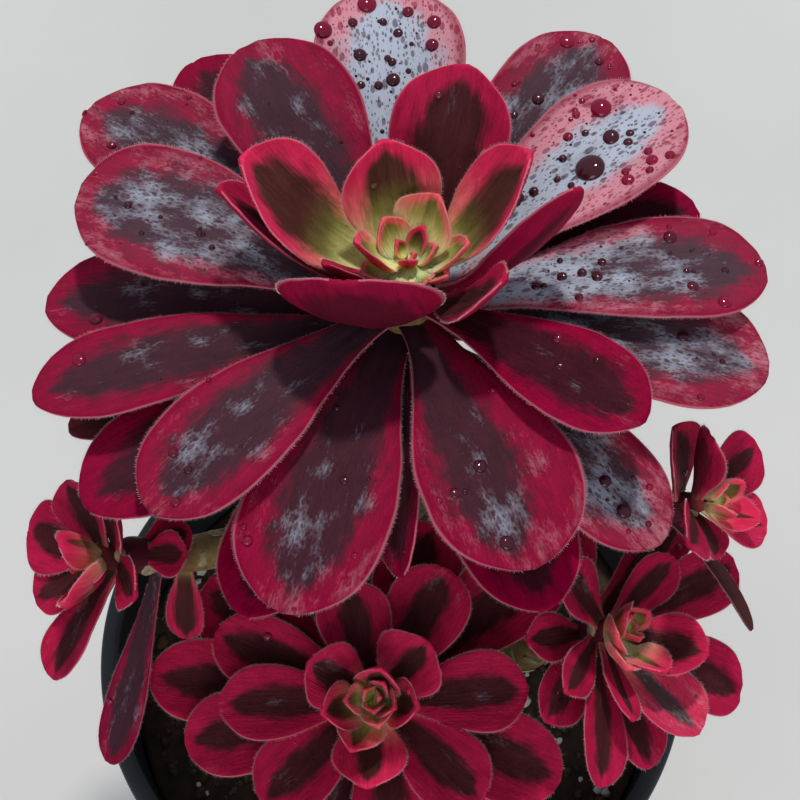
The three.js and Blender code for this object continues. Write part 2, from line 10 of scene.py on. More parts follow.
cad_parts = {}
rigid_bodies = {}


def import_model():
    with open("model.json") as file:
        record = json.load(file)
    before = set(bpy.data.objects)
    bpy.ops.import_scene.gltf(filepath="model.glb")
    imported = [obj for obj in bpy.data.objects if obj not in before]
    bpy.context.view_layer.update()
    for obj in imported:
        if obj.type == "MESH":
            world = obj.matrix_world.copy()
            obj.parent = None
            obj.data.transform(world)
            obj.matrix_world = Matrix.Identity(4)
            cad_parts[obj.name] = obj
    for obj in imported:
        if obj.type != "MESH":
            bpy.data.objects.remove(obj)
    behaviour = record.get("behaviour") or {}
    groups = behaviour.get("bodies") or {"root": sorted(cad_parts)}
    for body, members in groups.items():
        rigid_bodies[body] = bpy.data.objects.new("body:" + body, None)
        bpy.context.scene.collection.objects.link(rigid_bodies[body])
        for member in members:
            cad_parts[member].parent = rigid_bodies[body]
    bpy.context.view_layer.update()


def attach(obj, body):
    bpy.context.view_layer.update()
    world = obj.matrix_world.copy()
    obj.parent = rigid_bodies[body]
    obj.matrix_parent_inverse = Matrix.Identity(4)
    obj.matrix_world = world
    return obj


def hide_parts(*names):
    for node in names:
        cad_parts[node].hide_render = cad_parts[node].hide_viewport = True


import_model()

bl_info = {
    "name": "Potted aeonium",
    "version": (1, 0, 0),
    "blender": (4, 5, 0),
    "location": "View3D > Sidebar > Aeonium",
    "description": "Dresses a potted aeonium: fleshy striped leaves, woody stems, soil, pot and water drops",
    "category": "Add Mesh",
}

MM = 0.001
GOLDEN_ANGLE = 137.508

# The leaves, youngest first, in millimetres and degrees, measured from the heart that they stand round.
# azimuth from +X, reach from the axis to the tip, heights of the tip and the foot, width at the widest,
# arch of the middle above the straight line from foot to tip, then the looks: youth from old (0) to new (1),
# wax from none (0) to a full pale film (1), which is partly wax bloom and partly painted sky sheen
# and glints, skew of the dark stripe to one side, dryness, cup and roll of the blade in degrees, band for how
# broad the stripe is, and wane for how much of the pale film is lost towards the tip. A leaf without a cup or
# a band of its own has the usual one.
Leaf = namedtuple("Leaf", "azimuth reach tip foot width arch youth wax skew dry cup roll band wane",
                  defaults=(0.0, 0.0, 0.0, 0.0, None, 0, None, 0.0))

# The rosette's heart, the usual cup and band of leaves, the least youth of a head's leaf, which is painted
# light that makes the heads' leaves rosier and brighter, and how far from the axis leaves and buds start: a
# leaf above the depth where the trunk gets thin starts half as far out.
ROSETTE_HEART = (3.5, 37, 250)
INNER_LEAVES = 8
INNER_CUP = 30
OUTER_CUP = 16
BUD_CUP = 45
LEAF_BAND = 0.62
HEAD_BAND = 0.42
HEAD_PAINTED_LIGHT_YOUTH = 0.2
THIN_TRUNK_DEPTH = 9
LEAF_ROOT = 6
BUD_ROOT = 0.5
ROSETTE_LEAVES = [
    Leaf(107, 17, 17, -6, 23, -4, youth=0.72, cup=34, band=0.56),
    Leaf(16, 25.5, 24, -6.5, 20, -6, youth=0.6, skew=-0.12, cup=40, band=0.66),
    Leaf(-120, 25, 19, -10, 36, -10, youth=0.12, cup=24, roll=24, band=0.7),
    Leaf(-41, 25.5, 14, -9.7, 14.5, -6, youth=0.25, skew=-0.15, cup=25, roll=12, band=0.66),
    Leaf(166, 34.5, 21, -10.5, 27, -4, youth=0.55, skew=-0.04, cup=42),
    Leaf(70, 38, 19, -10, 28, -3, youth=0.25, band=0.58),
    Leaf(-1, 34, 22, -11.6, 14.5, -8.8, youth=0.12, cup=20, roll=-64, band=0.3),
    Leaf(171, 39, 14, -16, 17, -4, youth=0.2, cup=30, roll=22, band=0.3),
    Leaf(-38, 60.5, -5.5, -13.5, 24, 1.8),
    Leaf(125, 62, 10, -13.5, 33, 1, wax=0.16, skew=0.1, band=0.56),
    Leaf(-134.5, 74, -15, -15.2, 27, 4, wax=0.14, wane=-0.3),
    Leaf(-69, 70, -15, -17, 34, 4, wax=0.08, skew=-0.18, band=0.5, wane=-0.5),
    Leaf(33, 71, 5, -16.2, 32, 3, wax=0.85, band=0.46),
    Leaf(166, 74, -2, -19.4, 32, 5, wax=0.36, roll=-12, band=0.66),
    Leaf(94, 73, 7, -19.5, 36, 2, wax=0.95, band=0.66),
    Leaf(0.5, 77.5, -7.5, -19.5, 27.5, 5.8, wax=0.52, roll=2, wane=0.9),
    Leaf(-109, 76, -22, -20.5, 32, 5, wax=0.08, band=0.6, wane=-0.45),
    Leaf(54, 78, 0, -24, 31, 4, wax=0.33, band=0.66),
    Leaf(-161.5, 83, -15, -22.9, 23, 4, wax=0.12, band=0.6),
    Leaf(147, 87, -6, -25.3, 32, 5, wax=0.34, band=0.6),
    Leaf(-16, 79, -12.5, -24, 31, 5, wax=0.32, band=0.56, wane=-0.2),
    Leaf(179.5, 80, -19, -28.2, 27, 5, wax=0.14),
    Leaf(19, 69, -12, -28, 26, 4),
    Leaf(128, 83, -10, -30.4, 30, 4, wax=0.05),
    Leaf(-145, 82, -24, -31.8, 27, 5, wax=0.05),
    Leaf(-45, 75, -29, -27, 26, 5, wax=0.36, band=0.6, wane=-0.2),
    Leaf(-91, 62, -26, -29, 18, 4, roll=60),
    Leaf(82, 66, -18, -33.8, 26, 4),
    Leaf(-66, 72, -34, -34, 27, 4),
    Leaf(-118, 74, -38, -35, 25, 4),
    Leaf(-160, 78, -28, -37.5, 18, 4, dry=0.75, cup=35),
]

# Buds of a head, from its first to its last: how many, and their reach, tip height and width. All buds have
# the same heights of the foot and arches, and they are the youngest leaves.
Buds = namedtuple("Buds", "count reach tip width")
BUD_FEET = (-1, -3)
BUD_ARCHES = (-0.5, -2)
HEART_BUD_YOUTH = (1.0, 0.8)
HEAD_BUD_YOUTH = (1.0, 0.85)
HEART_BUDS = Buds(4, (1.5, 5.5), (0.5, 4), (3, 6))
HEART_LEAVES = [
    Leaf(50, 10, 10.2, -2.6, 17, -3.2, youth=1, cup=45),
    Leaf(135, 7, 6, -2.5, 10.5, -2.5, youth=1, cup=45),
    Leaf(204, 11.5, 10.5, -2.6, 11, -3.2, youth=0.9, cup=45),
    Leaf(0, 6, 3, -2, 6, -2, youth=1, cup=50),
    Leaf(-14, 13, 8, -2.6, 10, -4, youth=1, cup=50),
    Leaf(-153, 19, 8, -2.5, 10, -6, youth=0.25, cup=40, roll=25),
    Leaf(-70, 9.5, 1.5, -2.4, 9, -1.5, youth=1, cup=40),
    Leaf(-112, 10, 1, -2.4, 9, -1.5, youth=1, cup=40),
    Leaf(-143, 11.5, 2.5, -2.4, 8, -2, youth=1, cup=40),
    Leaf(-42, 11, 2.5, -2.4, 8, -2, youth=1, cup=40),
]

# A side head: place of its heart, the way and the angle that it leans, depth of its core, and its branch.
Head = namedtuple("Head", "heart heading lean depth buds leaves branch")
SIDE_HEADS = {
    "front": Head(
        (-4, -34, 176), -95, 20, 26, Buds(4, (1.5, 4), (6, 8), (4, 6)),
        [
            Leaf(-175, 6, 9, -3, 8, -2, youth=0.9, cup=45, band=0.5),
            Leaf(-78, 6.5, 8, -3, 8, -2, youth=1, cup=45, band=0.4),
            Leaf(-25, 5.5, 9, -3, 8, -2, youth=0.85, cup=45, band=0.6),
            Leaf(72, 6.5, 11, -4, 12, -4, youth=0.7, cup=45, band=0.6),
            Leaf(-12, 10.5, 10, -4, 13, -4, youth=0.6, cup=45, band=0.5),
            Leaf(-163, 11.3, 10, -4, 13, -4, youth=0.7, cup=45, band=0.5),
            Leaf(-112, 12.3, 9, -4, 12, -4, youth=0.85, cup=40, band=0.3),
            Leaf(152, 16.5, 6, -6, 17, -2, youth=0.36),
            Leaf(43, 17.5, 6, -6, 19, -2, youth=0.36, band=0.3),
            Leaf(-94, 19.5, 5.5, -6, 18, -3, youth=0.46, band=0.36),
            Leaf(-178, 35, 2, -10, 18.3, 0, youth=0.1),
            Leaf(3, 35, 0, -10, 19.5, 1, youth=0.1),
            Leaf(104, 27, -2, -10, 18.3, 1, youth=0.1),
            Leaf(-43, 33, 0, -11, 19.5, 1),
            Leaf(-138, 34, 0, -12, 19.5, 1),
            Leaf(59, 34, -4, -13, 20.7, 2),
            Leaf(158, 40, -4, -14, 18.3, 2),
            Leaf(-24, 46, -4, -15, 22, 2),
            Leaf(-81, 37, -6, -15, 20.7, 2),
            Leaf(-167, 45, -6, -17, 20.7, 3),
            Leaf(-108, 41, -8, -18, 20.7, 3),
            Leaf(-54, 45, -10, -19, 20.7, 3),
            Leaf(174, 54, -12, -20, 20.7, 4),
            Leaf(38, 56, -12, -21, 23.2, 4),
            Leaf(148, 50, -16, -22, 23.2, 4),
            Leaf(72, 44, -16, -23, 22, 3),
        ],
        ((3, 10, 118), (0, -6, 124), (-3, -18, 136)),
    ),
    "right": Head(
        (53, -24, 194), -25, 35, 24, Buds(4, (1.5, 4), (1, 4), (4, 7)),
        [
            Leaf(165, 5.5, 6, -3, 9, -2, youth=0.9, cup=45, band=0.5),
            Leaf(-150, 9.5, 6.5, -4, 10, -3, youth=0.95, cup=45, band=0.5),
            Leaf(-115, 11.5, 6, -4, 11, -3, youth=0.95, cup=45, band=0.3),
            Leaf(-66, 11, 7.5, -4, 12, -4, youth=0.8, cup=40, band=0.2),
            Leaf(-20, 15, 10, -5, 16.1, -3, youth=0.32),
            Leaf(54, 21.5, 0, -8, 12, -1, youth=0.1),
            # The pale film on this wet leaf paints the white glints on it.
            Leaf(-50, 28, 3, -8, 18.4, -2, youth=0.42, wax=0.3, cup=40, band=0.25),
            Leaf(148, 20, -2, -9, 14, 0),
            Leaf(-94, 21, 4, -10, 8, -1, youth=0.25, band=0.3),
            Leaf(31, 37, 0, -11, 16.1, 1),
            Leaf(-133, 22, -2, -11, 10.3, 0),
            Leaf(-14, 40, -6, -13, 18.4, 2),
            Leaf(-96, 35, -4, -14, 12.6, 2),
            Leaf(56, 40, -8, -17, 15.5, 2),
            Leaf(-166, 22, -8, -15, 11.5, 1),
            Leaf(-65, 32, -8, -17, 14.9, 2),
            Leaf(-121, 25, -12, -18, 13.8, 2),
            Leaf(110, 28, -14, -19, 13.8, 2),
        ],
        ((5, 12, 122), (20, 2, 130), (33, -11, 148)),
    ),
    "far": Head(
        (71, -3.5, 215.5), -15, 50, 14, Buds(4, (2, 5), (2, 5), (4, 7)),
        [
            Leaf(-14, 10, 5, -3, 10, -3, youth=0.6, cup=40, band=0.15),
            Leaf(53, 19.5, 3, -4, 16, -1, youth=0.2, band=0.3),
            Leaf(-3, 19.5, 1, -5, 14, -1, youth=0.42, band=0.18),
            Leaf(143, 16, 6, -5, 14, 0, roll=45, band=0.5),
            Leaf(-132, 18, 1, -8, 14, 1),
            Leaf(-66, 12.5, -3, -8, 12, 1),
            Leaf(137, 18.5, -2, -10, 17, 1),
        ],
        ((4, 17, 142), (24, 17, 158), (44, 10, 184)),
    ),
    "left": Head(
        (-67.5, -15, 211), 205, 50, 20, Buds(4, (1.5, 4), (0, 3), (4, 7)),
        [
            Leaf(20, 6, 8.5, -4, 11, -3, youth=0.75, cup=50, band=0.2),
            Leaf(-62, 12.5, 8.5, -4, 13, -4, youth=0.8, cup=50, band=0.2),
            Leaf(-85, 11, 5, -5, 13, -3, youth=0.36, band=0.25),
            Leaf(92, 16.5, 1, -7, 16.6, -1, youth=0.2),
            Leaf(151, 19, 1, -8, 17.9, 0),
            Leaf(-161, 19, 0, -9, 14.1, 0),
            Leaf(-40, 17, -4, -10, 12, 0),
            Leaf(40, 17, 0, -10, 15.4, 0),
            Leaf(-120, 28, 0, -12, 15, 1),
            Leaf(25, 9, -24, -14, 12, 0),
            Leaf(-8, 11, -20, -15, 11, 0),
        ],
        ((3, 22, 150), (-12, 14, 164), (-32, 3, 182)),
    ),
}

# Leaves that hang from a branch: the place of the foot and the leaf.
HANGING_LEAVES = {
    "long": ((-53, -7.5, 194.5), Leaf(-115, 36, -45, 0, 11, -3, wax=0.12)),
    "short": ((-47.5, -5, 190.5), Leaf(-97, 12, -19, 0, 9.5, 2, youth=0.3)),
    "dry": ((61, 0, 202), Leaf(-44, 30, -17, 0, 4.5, 5, dry=1.0, cup=75)),
}

# Stems, in millimetres: the middle line of the trunk, how far a branch runs straight before the core of its
# head, how far below the heart the core ends, the length of the young neck under the rosette, and radii.
TRUNK = ((4, 6, 78), (4, 9, 106), (3, 22, 150), (3, 34, 190), (3.5, 37, 214), (3.5, 37, 245.6))
NECK_OVERLAP = 8
CORE_DEPTH = 2.5
HEART_NECK = 10
TRUNK_RADIUS = 8
TRUNK_SHOULDER = 7.6
TRUNK_TOP = 3.5
BRANCH_RADIUS = 4.5
NECK_RADIUS = 4.6

# How a stem thins, as shares of its length and of its radius: where it starts to close, how wide it is at its
# foot, and how it goes on from there.
TRUNK_CLOSING = 0.94
TRUNK_FLARE = 1.1
TRUNK_THINNING = 0.15
BRANCH_CLOSING = 0.9
BRANCH_FLARE = 1.25
NECK_START = 0.88
NECK_THINNING = 0.5

# Waves of a stem's wall: their height as a share of the radius, how many there are round it, and their twist.
STEM_WAVES = ((0.035, 3, 9), (0.03, 2, -14))

# How fine a stem is, along and round, and its scars: where they start, how far apart and how large they are.
StemMake = namedtuple("StemMake", "steps sides start spacing size")
TRUNK_MAKE = StemMake(220, 40, 8, 3.0, 3.1)
BRANCH_MAKE = StemMake(110, 28, 8, 2.8, 2.0)

# A scar stands a little into the bark. Its size is one of ten, which follow each other in a shuffled order.
SCAR_SINK = 0.97
SCAR_LEAST = 0.85
SCAR_SPREAD = 0.3
SCAR_KINDS = 10
SCAR_SHUFFLE = 7
SCAR_FLATNESS = 0.22

# A smooth path: its steps between two points, the steps that scars are found with, and the shortest gap.
PATH_STEPS = 40
SCAR_STEPS = 400
SHORTEST_GAP = 1e-6

# Blade: width at the foot as a share of the full width, where along the leaf it is widest, and the powers by
# which it swells up to there and closes beyond it, its rows crowd at the tip, and its edge is rounded.
LEAF_FOOT = 0.26
LEAF_PEAK = 0.74
LEAF_SWELL = 2.2
LEAF_CLOSING = 2.3
ROW_CROWDING = 1.5
EDGE_ROUNDING = 0.85

# A blade's thickness at its foot and how much less it is at the tip, the half breadth of the middle groove,
# the power that keeps the small point at the tip, and how much of the groove and the point a small leaf has.
THICK_FOOT = 1.25
THICK_FALL = 0.6
GROOVE_BREADTH = 0.12
POINT_POWER = 60
SMALL_GROOVE = 0.5
SMALL_POINT = 0.6

# Waves of the outline are 18 mm long and bumps of the blade 6 mm, counted to the metre. Leaves read their
# noise this far from each other, in metres, so that no two are alike. Near a pole a point has no direction.
WAVE_SCALE = 55.0
BUMP_SCALE = 160.0
NUMBER_STEP = 0.37
NEAR_POLE = 1e-4

# Pot and soil, in metres: the collar and the rim, the rounding of corners, which takes up less than half of
# a side, the floor and the drain holes, the soil's gap to the pot, its bottom and the flat ring at its edge,
# the faces and the rings of its surface and the share of the innermost ring, how near the top a point of the
# surface has to be, and the radius that counts as none.
COLLAR_HEIGHT = 14 * MM
COLLAR_STEP = 3 * MM
COLLAR_CHAMFER = 0.6 * MM
COLLAR_THICKNESS = 2 * MM
RIM_BREADTH = 5 * MM
CORNER_RADIUS = 1.6 * MM
CORNER_SHARE = 0.45
POT_FLOOR = 2.5 * MM
HOLE_COUNT = 6
HOLE_RADIUS = 5 * MM
HOLE_CIRCLE = 38 * MM
HOLE_LOW = -4 * MM
HOLE_HIGH = 6 * MM
HOLE_SIDES = 40
SOIL_GAP = 0.3 * MM
SOIL_BOTTOM = 2.8 * MM
SOIL_EDGE = 3 * MM
SOIL_SIDES = 96
SOIL_RINGS = 48
SOIL_INNERMOST = 0.02
FLAT_ENOUGH = 1e-6
ON_AXIS = 1e-9

# Forms that are copied: faces round, faces from top to bottom, and how deep below its middle the form is cut.
GRAIN_FORM = (7, 4, 0.7)
SCAR_FORM = (10, 3, 0.1)
BEAD_FORM = (20, 8, 0.25)
SMALL_BEAD_FORM = (8, 3, 0.2)

# Grains on the soil: their sizes in millimetres, how flat they are, how much they tip over, and how rough
# they are, from the smallest share of their radius up.
CRUMB_SIZES = (0.7, 2.4)
PERLITE_SIZES = (0.7, 1.9)
GRAIN_FLATNESS = 0.7
GRAIN_TIPPING = 0.5
GRAIN_LEAST = 0.75
GRAIN_SPREAD = 0.5

# Drops: how flat they are, how far apart the small ones keep, and where on a leaf they lie: on its upper
# face, away from its foot, and a few even where there is no film of wax and painted sheen. Most of the small
# drops are the smallest.
BEAD_FLATNESS = 0.5
SMALL_BEAD_FLATNESS = 0.6
DROP_SPACING = 0.7 * MM
DROP_LIFT = 0.35
DROP_START = 0.3
BARE_WETNESS = 0.08
DROP_RARITY = 4.0
ROSETTE_GROUP = "rosette leaves"
HEAD_GROUP = "head leaves"
SMALL_DROPS = ((ROSETTE_GROUP, "small_drops", 1.0), (HEAD_GROUP, "head_drops", 0.5))

# Rim hairs: their radius, the edge of the blade that they stand on, where along the leaf they start, how much
# they stray from its normal, and their shortest and longest as a share of the usual length.
HAIR_RADIUS = 0.05 * MM
HAIR_EDGE = 0.999
HAIR_START = 0.12
HAIR_STRAY = 0.45
HAIR_LENGTHS = (0.6, 1.25)
HAIR_GROUPS = ((ROSETTE_GROUP, "rosette_hairs"), (HEAD_GROUP, "head_hairs"))

# Floor and lights, in metres: half the floor's side, the middle of the plant that both lights face, the way
# to the key light and its distance and size, and the place and the size of the low front light.
FLOOR_HALF = 3.0
LIGHT_TARGET = (0.0, 0.0, 0.22)
KEY_DIRECTION = (0.08, 0.42, 1.0)
KEY_DISTANCE = 1.5
KEY_SIZE = 0.12
FILL_PLACE = (0.0, -1.3, 0.75)
FILL_SIZE = 1.0
KEY_COLOUR = "#FFF8EE"
FILL_COLOUR = "#FFF6F0"
SKY_COLOUR = "#DDE6F2"

# Camera: the photograph looks down on the plant, and its frame is 800 by 800 pixels. Its place and its sensor
# are in millimetres, its pitch below the horizon in degrees and its nearest sight in metres.
FRAME_PIXELS = 800
CAMERA_PLACE = (2, -161, 508.7)
CAMERA_PITCH = 58
FOCAL_PIXELS = 1518
SENSOR_WIDTH = 36
CLIP_START = 0.01

# Large drops, each placed by the pixel of the photograph where its middle shows: x, y and radius in mm.
LARGE_DROPS = (
    (601, 108, 2.4), (590, 168, 3.4), (611, 137, 1.9), (568, 137, 1.2), (652, 160, 1.4), (670, 155, 1.2),
    (628, 180, 1.5), (630, 133, 1.0), (628, 142, 1.1), (582, 101, 0.8), (575, 110, 0.7), (367, 4, 2.3),
    (323, 30, 2.2), (434, 22, 1.7), (432, 45, 1.6), (393, 80, 1.7), (360, 55, 1.6), (398, 33, 1.2),
    (383, 22, 1.0), (408, 12, 1.4), (361, 85, 1.0), (567, 42, 1.7), (517, 82, 0.9), (538, 99, 1.5),
    (514, 115, 1.0), (670, 237, 1.5), (562, 277, 1.2), (582, 273, 1.1), (602, 262, 1.0), (536, 286, 1.1),
    (579, 297, 1.0), (707, 210, 1.2), (713, 232, 0.9), (693, 286, 1.3), (725, 302, 1.5), (683, 336, 1.3),
    (557, 338, 1.1), (559, 366, 0.9), (96, 319, 1.6), (480, 466, 1.5), (455, 493, 1.2), (507, 543, 1.6),
    (605, 481, 1.4), (624, 511, 1.7), (79, 360, 1.5), (344, 480, 1.0),
)


def linear(code):
    """An sRGB hex colour as a linear one, for a shader."""
    channels = [int(code[i:i + 2], 16) / 255 for i in (1, 3, 5)]
    return (*[c / 12.92 if c <= 0.04045 else ((c + 0.055) / 1.055) ** 2.4 for c in channels], 1.0)


# Kinds of node that most trees use.
MATH = "ShaderNodeMath"
MIX = "ShaderNodeMix"
RANGE = "ShaderNodeMapRange"
NOISE = "ShaderNodeTexNoise"
VECTOR = "ShaderNodeVectorMath"
STORED = "GeometryNodeInputNamedAttribute"


def add(tree, kind, inputs=(), **settings):
    """Adds a node and gives back its outputs. Inputs are values or links, in order or by name or number."""
    made = tree.nodes.new(kind)
    for name, value in settings.items():
        setattr(made, name, value)
    given = inputs if isinstance(inputs, dict) else dict(enumerate(inputs))
    for key, value in given.items():
        if isinstance(value, bpy.types.NodeSocket):
            tree.links.new(value, made.inputs[key])
        else:
            made.inputs[key].default_value = value
    return made.outputs


def new_tree(name, sockets):
    """A Geometry Nodes tree with named inputs, and one geometry out."""
    tree = bpy.data.node_groups.new(name, "GeometryNodeTree")
    tree.interface.new_socket("Geometry", in_out="INPUT", socket_type="NodeSocketGeometry")
    for socket, kind in sockets.items():
        tree.interface.new_socket(socket, in_out="INPUT", socket_type="NodeSocket" + kind)
    tree.interface.new_socket("Geometry", in_out="OUTPUT", socket_type="NodeSocketGeometry")
    return tree


def finish_tree(tree, geometry, material_socket):
    """Ends a tree: instances made real, shaded smooth and given their material."""
    real = add(tree, "GeometryNodeRealizeInstances", [geometry])
    smooth = add(tree, "GeometryNodeSetShadeSmooth", [real[0]])
    finished = add(tree, "GeometryNodeSetMaterial", {0: smooth[0], "Material": material_socket})
    add(tree, "NodeGroupOutput", [finished[0]])


def keep_result(piece):
    """Gives a piece the plain mesh that its modifiers make, and takes them off."""
    graph = bpy.context.evaluated_depsgraph_get()
    result = bpy.data.meshes.new_from_object(piece.evaluated_get(graph), depsgraph=graph)
    piece.modifiers.clear()
    piece.data = result


def grow(name, mesh, tree, values):
    """A plain mesh object: what a tree makes of a plan mesh with these input values."""
    piece = bpy.data.objects.new(name, mesh)
    bpy.context.scene.collection.objects.link(piece)
    modifier = piece.modifiers.new(name, "NODES")
    modifier.node_group = tree
    sockets = [item for item in tree.interface.items_tree if item.in_out == "INPUT"]
    identifiers = {socket.name: socket.identifier for socket in sockets}
    for name_in_tree, value in values.items():
        modifier[identifiers[name_in_tree]] = value
    keep_result(piece)
    piece.data.name = name
    bpy.data.meshes.remove(mesh)
    return piece


def plain_mesh(name, points, faces, material, smooth=True):
    """A mesh object from points in metres and faces."""
    mesh = bpy.data.meshes.new(name)
    mesh.from_pydata([tuple(p) for p in points], [], faces)
    mesh.polygons.foreach_set("use_smooth", [smooth] * len(mesh.polygons))
    mesh.materials.append(material)
    mesh.update()
    piece = bpy.data.objects.new(name, mesh)
    bpy.context.scene.collection.objects.link(piece)
    return piece


def points_mesh(name, points, floats=None, vectors=None):
    """A mesh of loose points, in metres, that carries a value or a vector for each."""
    mesh = bpy.data.meshes.new(name)
    mesh.from_pydata([tuple(p) for p in points], [], [])
    for key, values in (floats or {}).items():
        mesh.attributes.new(key, "FLOAT", "POINT").data.foreach_set("value", np.asarray(values, np.float32))
    for key, values in (vectors or {}).items():
        flat = np.asarray(values, np.float32).ravel()
        mesh.attributes.new(key, "FLOAT_VECTOR", "POINT").data.foreach_set("vector", flat)
    return mesh


def settle(piece, slot, *nodes):
    """Puts a finished piece on the plant: it rides on the root, and stands for CAD nodes if any are given."""
    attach(piece, "root")
    if nodes:
        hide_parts(*nodes)


def new_material(name):
    """A material with an empty node tree."""
    material = bpy.data.materials.new(name)
    material.use_nodes = True
    material.node_tree.nodes.clear()
    return material


def between(ends, share):
    """The value that lies a share of the way from the first end to the second."""
    return ends[0] + (ends[1] - ends[0]) * share


# What a plan point carries: the form of its leaf, then its looks. Some of them are lengths or angles.
PLAN_VALUES = ("azimuth", "reach", "tip", "foot", "root", "width", "arch", "cup", "roll", "number")
LOOK_VALUES = ("youth", "wax", "skew", "dry", "band", "wane")
LENGTHS = ("reach", "tip", "foot", "root", "width", "arch")
ANGLES = ("azimuth", "cup", "roll")


def blade_profile(tree, place, rows):
    """From a place on a unit ball: how far along, aside and up it is on a leaf, and how broad the leaf is."""
    x, y, z = add(tree, "ShaderNodeSeparateXYZ", [place])
    turned = add(tree, MATH, [z, -1], operation="MULTIPLY")[0]
    polar = add(tree, MATH, [turned], operation="ARCCOSINE")[0]
    level = add(tree, MATH, [polar, math.pi], operation="DIVIDE")[0]
    index = add(tree, MATH, [level, rows], operation="MULTIPLY")[0]
    past_cap = add(tree, MATH, [index, 1], operation="SUBTRACT")[0]
    spaces = add(tree, MATH, [rows, 1], operation="SUBTRACT")[0]
    share = add(tree, MATH, [past_cap, spaces], operation="DIVIDE")[0]
    row = add(tree, MATH, [share, 0], operation="MAXIMUM")[0]
    remaining_rows = add(tree, MATH, [1, row], operation="SUBTRACT")[0]
    rows_floor = add(tree, MATH, [remaining_rows, 0], operation="MAXIMUM")[0]
    crowded = add(tree, MATH, [rows_floor, ROW_CROWDING], operation="POWER")[0]
    along = add(tree, MATH, [1, crowded], operation="SUBTRACT")[0]
    x_square = add(tree, MATH, [x, x], operation="MULTIPLY")[0]
    flat_square = add(tree, MATH, [y, y, x_square], operation="MULTIPLY_ADD")[0]
    flat = add(tree, MATH, [flat_square], operation="SQRT")[0]
    flat_floor = add(tree, MATH, [flat, NEAR_POLE], operation="MAXIMUM")[0]
    side = add(tree, MATH, [x, flat_floor], operation="DIVIDE")[0]
    sine = add(tree, MATH, [y, flat_floor], operation="DIVIDE")[0]
    way = add(tree, MATH, [sine], operation="SIGN")[0]
    bare_sine = add(tree, MATH, [sine], operation="ABSOLUTE")[0]
    rounded = add(tree, MATH, [bare_sine, EDGE_ROUNDING], operation="POWER")[0]
    lift = add(tree, MATH, [way, rounded], operation="MULTIPLY")[0]
    swell_share = add(tree, MATH, [along, LEAF_PEAK], operation="DIVIDE")[0]
    swell_part = add(tree, MATH, [swell_share, 1], operation="MINIMUM")[0]
    swell_angle = add(tree, MATH, [swell_part, math.pi / 2], operation="MULTIPLY")[0]
    swell_sine = add(tree, MATH, [swell_angle], operation="SINE")[0]
    swell = add(tree, MATH, [swell_sine, LEAF_SWELL], operation="POWER")[0]
    foot_swell = add(tree, MATH, [swell, 1 - LEAF_FOOT, LEAF_FOOT], operation="MULTIPLY_ADD")[0]
    beyond = add(tree, MATH, [along, LEAF_PEAK], operation="SUBTRACT")[0]
    beyond_share = add(tree, MATH, [beyond, 1 - LEAF_PEAK], operation="DIVIDE")[0]
    beyond_floor = add(tree, MATH, [beyond_share, 0], operation="MAXIMUM")[0]
    closing = add(tree, MATH, [beyond_floor, LEAF_CLOSING], operation="POWER")[0]
    remaining = add(tree, MATH, [1, closing], operation="SUBTRACT")[0]
    remaining_floor = add(tree, MATH, [remaining, 0], operation="MAXIMUM")[0]
    closing_width = add(tree, MATH, [remaining_floor], operation="SQRT")[0]
    spread = add(tree, MATH, [foot_swell, closing_width], operation="MULTIPLY")[0]
    over = add(tree, MATH, [side, spread], operation="MULTIPLY")[0]
    return {"along": along, "side": side, "lift": lift, "spread": spread, "over": over}


def blade_offsets(tree, read, enter, wave, ripple):
    """How far a point of the blade stands off its middle line: aside, above it and beyond its tip."""
    half_width = add(tree, MATH, [read["width"], 0.5], operation="MULTIPLY")[0]
    wavy = add(tree, MATH, [wave, enter["Waviness"], 1], operation="MULTIPLY_ADD")[0]
    wavy_width = add(tree, MATH, [half_width, wavy], operation="MULTIPLY")[0]
    local_width = add(tree, MATH, [wavy_width, read["spread"]], operation="MULTIPLY")[0]
    turn = add(tree, MATH, [read["cup"], read["side"]], operation="MULTIPLY")[0]
    turn_sine = add(tree, MATH, [turn], operation="SINE")[0]
    out = add(tree, MATH, [turn_sine, read["cup"]], operation="DIVIDE")[0]
    aside = add(tree, MATH, [out, local_width], operation="MULTIPLY")[0]
    turn_cosine = add(tree, MATH, [turn], operation="COSINE")[0]
    dip = add(tree, MATH, [1, turn_cosine], operation="SUBTRACT")[0]
    rise = add(tree, MATH, [dip, read["cup"]], operation="DIVIDE")[0]
    trough = add(tree, MATH, [rise, local_width], operation="MULTIPLY")[0]
    taper = add(tree, MATH, [read["along"], -THICK_FALL, THICK_FOOT], operation="MULTIPLY_ADD")[0]
    half_thick = add(tree, MATH, [enter["Thickness"], 0.5], operation="MULTIPLY")[0]
    local_thick = add(tree, MATH, [half_thick, taper], operation="MULTIPLY")[0]
    swelling = add(tree, MATH, [local_thick, read["lift"]], operation="MULTIPLY")[0]
    groove_share = add(tree, MATH, [read["side"], GROOVE_BREADTH], operation="DIVIDE")[0]
    groove_square = add(tree, MATH, [groove_share, groove_share], operation="MULTIPLY")[0]
    groove_fall = add(tree, MATH, [groove_square, -1], operation="MULTIPLY")[0]
    groove_shape = add(tree, MATH, [groove_fall], operation="EXPONENT")[0]
    groove = add(tree, MATH, [groove_shape, enter["Groove depth"]], operation="MULTIPLY")[0]
    rippled = add(tree, MATH, [ripple, enter["Ripple height"]], operation="MULTIPLY")[0]
    up_one = add(tree, MATH, [trough, swelling], operation="ADD")[0]
    up_two = add(tree, MATH, [up_one, groove], operation="SUBTRACT")[0]
    above = add(tree, MATH, [up_two, rippled], operation="ADD")[0]
    near_tip = add(tree, MATH, [read["along"], POINT_POWER], operation="POWER")[0]
    beyond_tip = add(tree, MATH, [near_tip, enter["Tip point"]], operation="MULTIPLY")[0]
    return aside, above, beyond_tip


